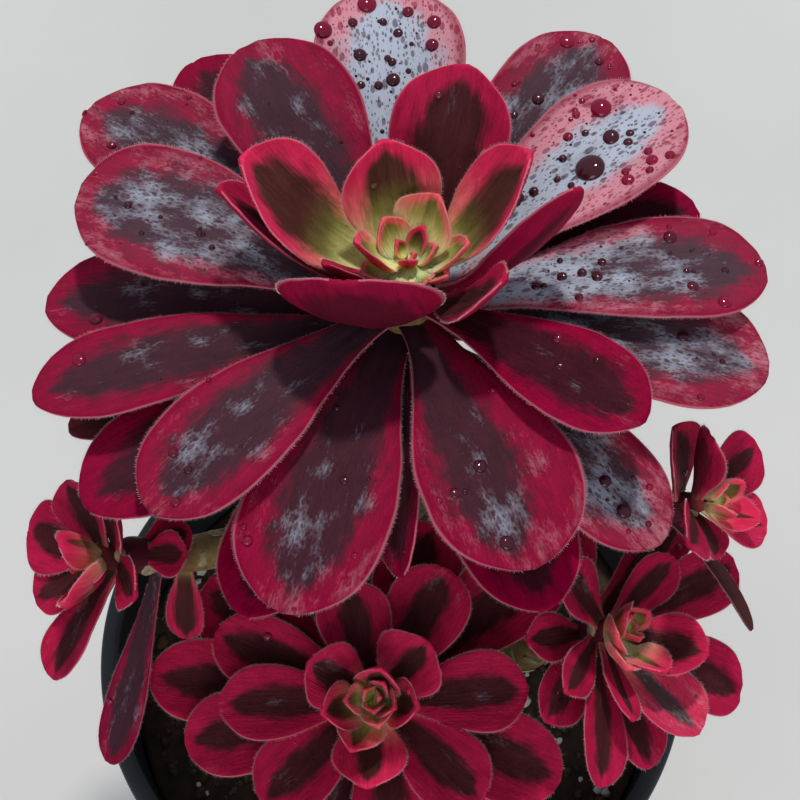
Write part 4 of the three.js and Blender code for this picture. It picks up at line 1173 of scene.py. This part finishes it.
def hair_tree():
    """Fine hairs along both rims of every leaf of a collection."""
    tree = new_tree("Rim hairs", {
        "Leaves": "Collection", "Spacing": "Float", "Length": "Float", "Radius": "Float", "Seed": "Int",
        "Material": "Material",
    })
    enter = add(tree, "NodeGroupInput")
    group = add(tree, "GeometryNodeCollectionInfo", {"Collection": enter["Leaves"]})[0]
    skin = add(tree, "GeometryNodeRealizeInstances", [group])[0]
    normal = add(tree, "GeometryNodeInputNormal")[0]
    facing = add(tree, "GeometryNodeStoreNamedAttribute", {0: skin, "Name": "facing", "Value": normal},
                 data_type="FLOAT_VECTOR", domain="POINT")[0]
    side = add(tree, STORED, {"Name": "side"}, data_type="FLOAT")[0]
    along = add(tree, STORED, {"Name": "along"}, data_type="FLOAT")[0]
    aside = add(tree, MATH, [side], operation="ABSOLUTE")[0]
    on_rim = add(tree, MATH, [aside, HAIR_EDGE], operation="GREATER_THAN")[0]
    outer = add(tree, MATH, [along, HAIR_START], operation="GREATER_THAN")[0]
    chosen = add(tree, MATH, [on_rim, outer], operation="MULTIPLY")[0]
    rims = add(tree, "GeometryNodeMeshToCurve", {"Mesh": facing, "Selection": chosen})[0]
    even = add(tree, "GeometryNodeResampleCurve", {"Curve": rims, "Length": enter["Spacing"]}, mode="LENGTH")
    hair = add(tree, "GeometryNodeMeshCone", {
        "Vertices": 3, "Radius Top": 0.0, "Radius Bottom": enter["Radius"], "Depth": enter["Length"],
    })["Mesh"]
    out = add(tree, STORED, {"Name": "facing"}, data_type="FLOAT_VECTOR")[0]
    stray = add(tree, "FunctionNodeRandomValue", {
        0: [-HAIR_STRAY] * 3, 1: [HAIR_STRAY] * 3, "Seed": enter["Seed"],
    }, data_type="FLOAT_VECTOR")
    aim = add(tree, VECTOR, [out, stray[0]], operation="ADD")[0]
    turn = add(tree, "FunctionNodeAlignRotationToVector", {"Vector": aim}, axis="Z")[0]
    lengths = {2: HAIR_LENGTHS[0], 3: HAIR_LENGTHS[1], "Seed": enter["Seed"]}
    grown = add(tree, "FunctionNodeRandomValue", lengths, data_type="FLOAT")
    copies = add(tree, "GeometryNodeInstanceOnPoints", {
        "Points": even[0], "Instance": hair, "Rotation": turn, "Scale": grown[1],
    })
    finish_tree(tree, copies[0], enter["Material"])
    return tree


def hidden_form(name, points, faces):
    """A form that only other pieces copy."""
    mesh = bpy.data.meshes.new(name)
    mesh.from_pydata(points, [], faces)
    form = bpy.data.objects.new(name, mesh)
    bpy.context.scene.collection.objects.link(form)
    form.hide_render = True
    return form


def dome(sides, rows, sunk):
    """Points and faces of a closed round bead whose lower part is cut off flat, a share below its middle."""
    points = [(0.0, 0.0, 1.0)]
    lowest = math.acos(-sunk)
    for i in range(1, rows + 1):
        polar = lowest * i / rows
        out, height = math.sin(polar), math.cos(polar)
        for j in range(sides):
            angle = 2 * math.pi * j / sides
            points.append((out * math.cos(angle), out * math.sin(angle), height))
    points.append((0.0, 0.0, -sunk))
    faces = [(0, 1 + j, 1 + (j + 1) % sides) for j in range(sides)]
    for i in range(rows - 1):
        for j in range(sides):
            a, b = 1 + i * sides + j, 1 + i * sides + (j + 1) % sides
            faces.append((a, a + sides, b + sides, b))
    last = 1 + (rows - 1) * sides
    faces += [(len(points) - 1, last + (j + 1) % sides, last + j) for j in range(sides)]
    return points, faces


def lathe(outline, sides):
    """Points and faces of a closed turned form: an outline of (radius, height) from axis to axis."""
    angles = 2 * math.pi * np.arange(sides) / sides
    points, rows = [], []
    for radius, height in outline:
        if radius < ON_AXIS:
            rows.append([len(points)])
            points.append((0, 0, height))
        else:
            rows.append(list(range(len(points), len(points) + sides)))
            points += [(radius * math.cos(a), radius * math.sin(a), height) for a in angles]
    faces = []
    for low, high in zip(rows, rows[1:]):
        for j in range(sides):
            k = (j + 1) % sides
            if len(low) == 1:
                faces.append((low[0], high[k], high[j]))
            elif len(high) == 1:
                faces.append((low[j], low[k], high[0]))
            else:
                faces.append((low[j], low[k], high[k], high[j]))
    return points, faces


def rounded(outline, radius, steps=4):
    """An outline with each inner corner rounded, as far as its neighbours leave room."""
    corners = [Vector(p) for p in outline]
    result = [corners[0]]
    for before, corner, after in zip(corners, corners[1:], corners[2:]):
        reach = min(radius, *[(end - corner).length * CORNER_SHARE for end in (before, after)])
        start = corner + (before - corner).normalized() * reach
        end = corner + (after - corner).normalized() * reach
        for i in range(steps + 1):
            t = i / steps
            result.append(start * (1 - t) ** 2 + corner * 2 * t * (1 - t) + end * t * t)
    result.append(corners[-1])
    return [(p.x, p.y) for p in result]


def inner_radius(pot, height):
    """Inner radius of the pot at a height below its collar: its wall leans out evenly from base to collar."""
    slope = (pot.rim_radius - COLLAR_STEP - pot.base_radius) / (pot.height - COLLAR_HEIGHT)
    return pot.base_radius + slope * height - pot.wall


def soil_lift(across, up, edge, rise):
    """How far the soil's lumps stand up at places in metres: waves of some millimetres, and a flat edge."""
    x, y = across / MM, up / MM
    broad = np.sin(x / 9 + 1) * np.cos(y / 11)
    slanted = np.sin(x / 5 - y / 6)
    small = np.cos(y / 4 + x / 13)
    grit = 0.35 * np.sin(x * 1.9 + 2 * np.sin(y)) * np.cos(y * 1.7 + np.sin(x))
    lumps = broad + 0.6 * slanted + 0.5 * small + grit
    inward = np.clip((edge - np.hypot(across, up)) / SOIL_EDGE, 0, 1)
    return inward * lumps * rise / 2


class PotSettings(bpy.types.PropertyGroup):
    """Sizes of the pot."""
    height: bpy.props.FloatProperty(
        name="Height", description="Height of the pot", default=0.13, unit="LENGTH")
    rim_radius: bpy.props.FloatProperty(
        name="Rim radius", description="Outer radius of the rim", default=0.078, unit="LENGTH")
    base_radius: bpy.props.FloatProperty(
        name="Base radius", description="Outer radius of the base", default=0.056, unit="LENGTH")
    wall: bpy.props.FloatProperty(
        name="Wall", description="Thickness of the wall", default=0.002, unit="LENGTH")
    sides: bpy.props.IntProperty(name="Sides", description="Faces round the pot", default=192, min=24)


class SoilSettings(bpy.types.PropertyGroup):
    """Surface of the soil and the grains on it."""
    top: bpy.props.FloatProperty(
        name="Top", description="Mean height of the soil", default=0.106, unit="LENGTH")
    rise: bpy.props.FloatProperty(
        name="Rise", description="How far its lumps stand up", default=0.0024, unit="LENGTH")
    crumbs: bpy.props.IntProperty(name="Crumbs", description="Bark and soil crumbs on top", default=900)
    perlite: bpy.props.IntProperty(name="Perlite", description="White grains on top", default=120)
    seed: bpy.props.IntProperty(name="Seed", description="Start of the random places", default=5)


class LeafSettings(bpy.types.PropertyGroup):
    """Form of the leaf blades."""
    thickness: bpy.props.FloatProperty(
        name="Thickness", description="Thickness of a rosette leaf", default=0.0024, unit="LENGTH")
    small_thickness: bpy.props.FloatProperty(
        name="Small thickness", description="Thickness of a small leaf", default=0.0018, unit="LENGTH")
    sides: bpy.props.IntProperty(name="Sides", description="Faces round a rosette leaf", default=32)
    rows: bpy.props.IntProperty(name="Rows", description="Faces along a rosette leaf", default=44)
    small_sides: bpy.props.IntProperty(name="Small sides", description="Faces round a small leaf", default=20)
    small_rows: bpy.props.IntProperty(name="Small rows", description="Faces along a small leaf", default=26)
    waviness: bpy.props.FloatProperty(
        name="Waviness", description="How uneven the outline is, as a share of the width", default=0.12)
    ripple: bpy.props.FloatProperty(
        name="Ripple", description="Height of the low bumps of the blade", default=0.0009, unit="LENGTH")
    groove: bpy.props.FloatProperty(
        name="Groove", description="Depth of the middle groove", default=0.0003, unit="LENGTH")
    mucro: bpy.props.FloatProperty(
        name="Tip point", description="Length of the small point at the tip", default=0.0012, unit="LENGTH")


class DropSettings(bpy.types.PropertyGroup):
    """Water drops and rim hairs."""
    density: bpy.props.FloatProperty(
        name="Density", description="Most small drops on a square metre of leaf", default=60000)
    smallest: bpy.props.FloatProperty(
        name="Smallest", description="Radius of the smallest drop", default=0.00022, unit="LENGTH")
    largest: bpy.props.FloatProperty(
        name="Largest", description="Radius of the largest strewn drop", default=0.0013, unit="LENGTH")
    hair_length: bpy.props.FloatProperty(
        name="Hair length", description="Length of a rim hair", default=0.0006, unit="LENGTH")
    hair_spacing: bpy.props.FloatProperty(
        name="Hair spacing", description="Space between rim hairs", default=0.00045, unit="LENGTH")
    seed: bpy.props.IntProperty(name="Seed", description="Start of the random places", default=11)


class StageSettings(bpy.types.PropertyGroup):
    """Floor, light and camera."""
    sun_power: bpy.props.FloatProperty(name="Key light", description="Power of the key light", default=14.0)
    fill_power: bpy.props.FloatProperty(
        name="Fill light", description="Power of the low front light", default=8.0)
    sky: bpy.props.FloatProperty(name="Sky", description="Strength of the even light", default=0.5)


class Shared:
    """What several operators use: trees, materials and collections, made once."""
    trees = {}
    materials = {}
    leaves = {}


def shared_tree(name, build):
    """A tree that is built when it is first asked for."""
    if name not in Shared.trees:
        Shared.trees[name] = build()
    return Shared.trees[name]


def shared_material(build, name, *values):
    """A material that is built when it is first asked for."""
    if name not in Shared.materials:
        Shared.materials[name] = build(name, *values)
    return Shared.materials[name]


def grow_leaves(name, node, group, leaves, roots, heart, settings,
                slot="leaf", heading=0, lean=0, small=False):
    """Grows leaves round a heart as one piece, and lists it in the group that drops and hairs grow on."""
    tree = shared_tree("blade", blade_tree)
    colouring = shared_tree("colouring", leaf_colouring)
    values = {
        "Sides": settings.small_sides if small else settings.sides,
        "Rows": settings.small_rows if small else settings.rows,
        "Thickness": settings.small_thickness if small else settings.thickness,
        "Waviness": settings.waviness,
        "Ripple height": settings.ripple,
        "Groove depth": settings.groove * (SMALL_GROOVE if small else 1),
        "Tip point": settings.mucro * (SMALL_POINT if small else 1),
        "Heart": [c * MM for c in heart],
        "Lean axis": (-math.sin(math.radians(heading)), math.cos(math.radians(heading)), 0.0),
        "Lean": math.radians(lean),
        "Material": shared_material(leaf_material, "Aeonium leaf, damp waxy skin", colouring),
    }
    piece = grow(name, leaf_plan(name, leaves, roots), tree, values)
    settle(piece, slot, node)
    if group not in Shared.leaves:
        Shared.leaves[group] = bpy.data.collections.new(group)
    Shared.leaves[group].objects.link(piece)


def gathered_leaves():
    """All the leaf pieces as one list of points and one of faces, with what each point carries."""
    names = ("along", "side", "over", "lift", "number", *LOOK_VALUES)
    points, faces, looks = [], [], {name: [] for name in (*names, "leaf_place")}
    for group in Shared.leaves.values():
        for piece in group.objects:
            mesh = piece.data
            start = len(points)
            points += [v.co.copy() for v in mesh.vertices]
            faces += [tuple(start + v for v in polygon.vertices) for polygon in mesh.polygons]
            for name in names:
                looks[name] += [item.value for item in mesh.attributes[name].data]
            looks["leaf_place"] += [item.vector.copy() for item in mesh.attributes["leaf_place"].data]
    return points, faces, looks


def large_drop_plan():
    """A plan point where the line of sight to each drop meets a leaf, with the looks of the leaf there."""
    points, faces, looks = gathered_leaves()
    skin = BVHTree.FromPolygons(points, faces)
    eye = Vector([c * MM for c in CAMERA_PLACE])
    turn = Matrix.Rotation(math.radians(90 - CAMERA_PITCH), 3, "X")
    half = FRAME_PIXELS / 2
    places, facings, sizes, nearest = [], [], [], []
    for x, y, radius in LARGE_DROPS:
        ray = turn @ Vector((x - half, half - y, -FOCAL_PIXELS))
        place, normal, face, _ = skin.ray_cast(eye, ray.normalized())
        if place is None:
            continue
        places.append(place)
        facings.append(normal)
        sizes.append(radius * MM)
        nearest.append(min(faces[face], key=lambda v: (points[v] - place).length))
    kept = {name: [values[i] for i in nearest] for name, values in looks.items()}
    vectors = {"facing": facings, "leaf_place": kept.pop("leaf_place")}
    return points_mesh("large_drops", places, {"size": sizes, **kept}, vectors)


def lay_copies(name, plan, form, flatness, material, slot):
    """Lays a copy of a form on each point of a plan, as one piece."""
    values = {"Form": form, "Flatness": flatness, "Material": material}
    settle(grow(name, plan, shared_tree("placed", placed_tree), values), slot)


class AEONIUM_OT_stage(bpy.types.Operator):
    """Makes the floor, the light and the camera"""
    bl_idname = "aeonium.stage"
    bl_label = "Stage"

    def execute(self, context):
        settings = context.scene.aeonium_stage
        scene = context.scene
        side = FLOOR_HALF
        corners = [(-side, -side, 0), (side, -side, 0), (side, side, 0), (-side, side, 0)]
        paper = shared_material(ground_material, *FLOOR)
        floor = plain_mesh("floor", corners, [(0, 1, 2, 3)], paper, smooth=False)

        world = bpy.data.worlds.new("Even sky")
        scene.world = world
        world.use_nodes = True
        world.node_tree.nodes.clear()
        even = {"Color": linear(SKY_COLOUR), "Strength": settings.sky}
        sky = add(world.node_tree, "ShaderNodeBackground", even)
        add(world.node_tree, "ShaderNodeOutputWorld", {"Surface": sky[0]})

        target = Vector(LIGHT_TARGET)
        direction = Vector(KEY_DIRECTION).normalized()
        fill_place = Vector(FILL_PLACE)
        for name, size, power, colour, place, away in (
            ("key", KEY_SIZE, settings.sun_power, KEY_COLOUR, target + direction * KEY_DISTANCE, direction),
            ("fill", FILL_SIZE, settings.fill_power, FILL_COLOUR, fill_place, fill_place - target),
        ):
            light = bpy.data.lights.new(name, "AREA")
            light.shape = "DISK"
            light.size = size
            light.energy = power
            light.color = linear(colour)[:3]
            lamp = bpy.data.objects.new(name, light)
            lamp.location = place
            lamp.rotation_euler = away.to_track_quat("Z", "Y").to_euler()
            scene.collection.objects.link(lamp)

        lens = bpy.data.cameras.new("camera")
        lens.sensor_width = SENSOR_WIDTH
        lens.lens = FOCAL_PIXELS / FRAME_PIXELS * SENSOR_WIDTH
        lens.clip_start = CLIP_START
        camera = bpy.data.objects.new("camera", lens)
        camera.location = [c * MM for c in CAMERA_PLACE]
        camera.rotation_euler = (math.radians(90 - CAMERA_PITCH), 0, 0)
        scene.collection.objects.link(camera)
        scene.camera = camera
        scene.view_settings.view_transform = "Standard"
        return {"FINISHED"}


class AEONIUM_OT_pot(bpy.types.Operator):
    """Makes the nursery pot with its collar, rolled rim and drain holes"""
    bl_idname = "aeonium.pot"
    bl_label = "Pot"

    def execute(self, context):
        s = context.scene.aeonium_pot
        plastic = shared_material(ground_material, *PLASTIC)
        shoulder = s.height - COLLAR_HEIGHT
        collar = s.rim_radius - COLLAR_STEP
        outline = rounded([
            (0, 0), (s.base_radius, 0), (collar, shoulder),
            (s.rim_radius - COLLAR_CHAMFER, shoulder + COLLAR_CHAMFER), (s.rim_radius, s.height),
            (s.rim_radius - RIM_BREADTH, s.height), (collar - s.wall, shoulder - COLLAR_THICKNESS),
            (inner_radius(s, POT_FLOOR), POT_FLOOR), (0, POT_FLOOR),
        ], CORNER_RADIUS)
        pot = plain_mesh("pot_shell", *lathe(outline, s.sides), plastic)
        hole = [(0, HOLE_LOW), (HOLE_RADIUS, HOLE_LOW), (HOLE_RADIUS, HOLE_HIGH), (0, HOLE_HIGH)]
        points, faces = lathe(hole, HOLE_SIDES)
        holes_points, holes_faces = [], []
        for i in range(HOLE_COUNT):
            angle = 2 * math.pi * i / HOLE_COUNT
            start = len(holes_points)
            shift = Vector((HOLE_CIRCLE * math.cos(angle), HOLE_CIRCLE * math.sin(angle), 0))
            holes_points += [Vector(p) + shift for p in points]
            holes_faces += [tuple(start + v for v in face) for face in faces]
        cutter = plain_mesh("drain_holes", holes_points, holes_faces, plastic)
        cut = pot.modifiers.new("drain holes", "BOOLEAN")
        cut.object = cutter
        cut.operation = "DIFFERENCE"
        cut.solver = "EXACT"
        keep_result(pot)
        bpy.data.objects.remove(cutter)
        settle(pot, "pot_plastic", "pot")
        return {"FINISHED"}


class AEONIUM_OT_soil(bpy.types.Operator):
    """Makes the soil with its lumps, crumbs and white grains"""
    bl_idname = "aeonium.soil"
    bl_label = "Soil"

    def execute(self, context):
        s = context.scene.aeonium_soil
        pot = context.scene.aeonium_pot
        edge = inner_radius(pot, s.top) - SOIL_GAP
        outline = [(0, SOIL_BOTTOM), (inner_radius(pot, SOIL_BOTTOM) - SOIL_GAP, SOIL_BOTTOM)]
        rings = np.linspace(1, SOIL_INNERMOST, SOIL_RINGS)
        outline += [(edge * share, s.top) for share in rings] + [(0, s.top)]
        points, faces = lathe(outline, SOIL_SIDES)
        points = np.array(points)
        top = points[:, 2] > s.top - FLAT_ENOUGH
        points[top, 2] += soil_lift(points[top, 0], points[top, 1], edge, s.rise)
        bed = plain_mesh("soil_bed", points, faces, shared_material(ground_material, *SHADED_EARTH))
        settle(bed, "soil", "soil")

        rng = np.random.default_rng(s.seed)
        stone, stone_faces = dome(*GRAIN_FORM)
        rough = [tuple(Vector(p) * (GRAIN_LEAST + GRAIN_SPREAD * rng.random())) for p in stone]
        form = hidden_form("grain_form", rough, stone_faces)
        for name, count, sizes, make in (
            ("soil_crumbs", s.crumbs, CRUMB_SIZES, BARK),
            ("soil_perlite", s.perlite, PERLITE_SIZES, PERLITE),
        ):
            radius = np.sqrt(rng.random(count)) * (edge - SOIL_EDGE)
            angle = 2 * math.pi * rng.random(count)
            x, y = radius * np.cos(angle), radius * np.sin(angle)
            places = np.stack([x, y, s.top + soil_lift(x, y, edge, s.rise)], 1)
            facing = rng.normal(0, GRAIN_TIPPING, (count, 3)) + (0, 0, 1)
            size = between(sizes, rng.random(count) ** 2) * MM
            plan = points_mesh(name, places, {"size": size}, {"facing": facing})
            lay_copies(name, plan, form, GRAIN_FLATNESS, shared_material(ground_material, *make), "soil")
        bpy.data.objects.remove(form)
        return {"FINISHED"}


class AEONIUM_OT_stems(bpy.types.Operator):
    """Makes the woody trunk, its branches and the scars of fallen leaves"""
    bl_idname = "aeonium.stems"
    bl_label = "Stems"

    def execute(self, context):
        bark = shared_material(stem_material, "Aeonium stem, woody")
        cork = shared_material(ground_material, *CORK)
        routes = [(TRUNK, trunk_radius, TRUNK_MAKE, HEART_NECK)]
        for head in SIDE_HEADS.values():
            routes.append((branch_route(head), branch_radius, BRANCH_MAKE, head.depth + NECK_OVERLAP))
        points, faces, places, facings, sizes, fresh = [], [], [], [], [], []
        for route, radius_at, make, neck in routes:
            more, more_faces = stem_shape(route, radius_at, make.steps, make.sides)
            faces += [tuple(len(points) + v for v in face) for face in more_faces]
            points += list(more * MM)
            length = smooth_path(route, make.steps)[2][-1]
            youth = np.clip(1 - (1 - np.linspace(0, 1, make.steps)) * length / neck, 0, 1)
            fresh += [*np.repeat(youth, make.sides), youth[0], youth[-1]]
            for kept, found in zip((places, facings, sizes), scar_places(route, radius_at, make)):
                kept += found
        stems = plain_mesh("woody_stems", points, faces, bark)
        carried = stems.data.attributes.new("fresh", "FLOAT", "POINT")
        carried.data.foreach_set("value", np.array(fresh, np.float32))
        settle(stems, "woody_stem", "stems")
        form = hidden_form("scar_form", *dome(*SCAR_FORM))
        plan = points_mesh("leaf_scars", places, {"size": sizes}, {"facing": facings})
        lay_copies("leaf_scars", plan, form, SCAR_FLATNESS, cork, "woody_stem")
        bpy.data.objects.remove(form)
        return {"FINISHED"}


class AEONIUM_OT_rosette(bpy.types.Operator):
    """Grows the leaves of the large rosette and the tuft in its heart"""
    bl_idname = "aeonium.rosette"
    bl_label = "Rosette"

    def execute(self, context):
        settings = context.scene.aeonium_leaf
        for number, leaf in enumerate(ROSETTE_LEAVES, 1):
            root = LEAF_ROOT / 2 if leaf.foot > -THIN_TRUNK_DEPTH else LEAF_ROOT
            cupped = leaf._replace(cup=leaf.cup or (INNER_CUP if number <= INNER_LEAVES else OUTER_CUP))
            grow_leaves(f"leaf_{number:02d}", f"rosette_leaf_{number:02d}", ROSETTE_GROUP, [cupped], [root],
                        ROSETTE_HEART, settings, slot="dry_leaf" if leaf.dry else "leaf")
        tuft = [*bud_leaves(HEART_BUDS, HEART_BUD_YOUTH), *HEART_LEAVES]
        grow_leaves("heart_tuft", "rosette_heart", ROSETTE_GROUP, tuft, [BUD_ROOT] * len(tuft), ROSETTE_HEART,
                    settings, slot="heart_leaf", small=True)
        return {"FINISHED"}


class AEONIUM_OT_side_heads(bpy.types.Operator):
    """Grows the four side heads"""
    bl_idname = "aeonium.side_heads"
    bl_label = "Side heads"

    def execute(self, context):
        settings = context.scene.aeonium_leaf
        for side, head in SIDE_HEADS.items():
            leaves = bud_leaves(head.buds, HEAD_BUD_YOUTH)
            for leaf in head.leaves:
                # Every head leaf is at least this young: painted light that makes the heads rosier and
                # brighter.
                leaves.append(leaf._replace(youth=max(leaf.youth, HEAD_PAINTED_LIGHT_YOUTH), band=leaf.band or HEAD_BAND))
            grow_leaves(f"head_{side}", f"side_head_{side}", HEAD_GROUP, leaves, [BUD_ROOT] * len(leaves),
                        head.heart, settings, heading=head.heading, lean=head.lean, small=True)
        return {"FINISHED"}


class AEONIUM_OT_hanging_leaves(bpy.types.Operator):
    """Grows the loose leaves that hang from the branches"""
    bl_idname = "aeonium.hanging_leaves"
    bl_label = "Hanging leaves"

    def execute(self, context):
        settings = context.scene.aeonium_leaf
        for name, (place, leaf) in HANGING_LEAVES.items():
            grow_leaves(f"hanging_{name}", f"hanging_leaf_{name}", HEAD_GROUP, [leaf], [0], place, settings,
                        slot="dry_leaf" if leaf.dry else "leaf", small=True)
        return {"FINISHED"}


class AEONIUM_OT_drops(bpy.types.Operator):
    """Lays the water drops on the leaves"""
    bl_idname = "aeonium.drops"
    bl_label = "Water drops"

    def execute(self, context):
        s = context.scene.aeonium_drops
        water = shared_material(drop_material, "Water drops, clear", shared_tree("colouring", leaf_colouring))
        bead = hidden_form("bead_form", *dome(*BEAD_FORM))
        lay_copies("large_drops", large_drop_plan(), bead, BEAD_FLATNESS, water, "leaf")
        small = hidden_form("small_bead_form", *dome(*SMALL_BEAD_FORM))
        tree = shared_tree("scattered", scattered_tree)
        for group, name, share in SMALL_DROPS:
            values = {
                "Surfaces": Shared.leaves[group], "Form": small, "Density": s.density * share,
                "Spacing": DROP_SPACING, "Smallest": s.smallest, "Largest": s.largest,
                "Flatness": SMALL_BEAD_FLATNESS, "Seed": s.seed, "Material": water,
            }
            settle(grow(name, bpy.data.meshes.new(name), tree, values), "leaf")
        for form in (bead, small):
            bpy.data.objects.remove(form)
        return {"FINISHED"}


class AEONIUM_OT_hairs(bpy.types.Operator):
    """Grows the fine pale hairs along the rims of the leaves"""
    bl_idname = "aeonium.hairs"
    bl_label = "Rim hairs"

    def execute(self, context):
        s = context.scene.aeonium_drops
        hair = shared_material(hair_material, "Rim hairs, pale")
        for group, name in HAIR_GROUPS:
            values = {
                "Leaves": Shared.leaves[group], "Spacing": s.hair_spacing, "Length": s.hair_length,
                "Radius": HAIR_RADIUS, "Seed": s.seed, "Material": hair,
            }
            settle(grow(name, bpy.data.meshes.new(name), shared_tree("hairs", hair_tree), values), "leaf")
        return {"FINISHED"}


class AEONIUM_PT_panel(bpy.types.Panel):
    """Lists the makers of the plant's pieces and their settings"""
    bl_idname = "AEONIUM_PT_panel"
    bl_label = "Potted aeonium"
    bl_space_type = "VIEW_3D"
    bl_region_type = "UI"
    bl_category = "Aeonium"

    def draw(self, context):
        for operator in OPERATORS:
            self.layout.operator(operator.bl_idname)
        for name in SETTINGS:
            group = getattr(context.scene, name)
            box = self.layout.box()
            for key in group.__annotations__:
                box.prop(group, key)


OPERATORS = (
    AEONIUM_OT_stage, AEONIUM_OT_pot, AEONIUM_OT_soil, AEONIUM_OT_stems, AEONIUM_OT_rosette,
    AEONIUM_OT_side_heads, AEONIUM_OT_hanging_leaves, AEONIUM_OT_drops, AEONIUM_OT_hairs,
)
SETTINGS = {
    "aeonium_pot": PotSettings,
    "aeonium_soil": SoilSettings,
    "aeonium_leaf": LeafSettings,
    "aeonium_drops": DropSettings,
    "aeonium_stage": StageSettings,
}
CLASSES = (*SETTINGS.values(), *OPERATORS, AEONIUM_PT_panel)


def register():
    """Registers the classes and hangs the settings on the scene."""
    for item in CLASSES:
        bpy.utils.register_class(item)
    for name, group in SETTINGS.items():
        setattr(bpy.types.Scene, name, bpy.props.PointerProperty(type=group))


def unregister():
    """Takes the settings and the classes off again."""
    for name in SETTINGS:
        delattr(bpy.types.Scene, name)
    for item in reversed(CLASSES):
        bpy.utils.unregister_class(item)


def main():
    """Makes every piece in order."""
    register()
    for operator in OPERATORS:
        group, name = operator.bl_idname.split(".")
        getattr(getattr(bpy.ops, group), name)()


if __name__ == "__main__":
    main()
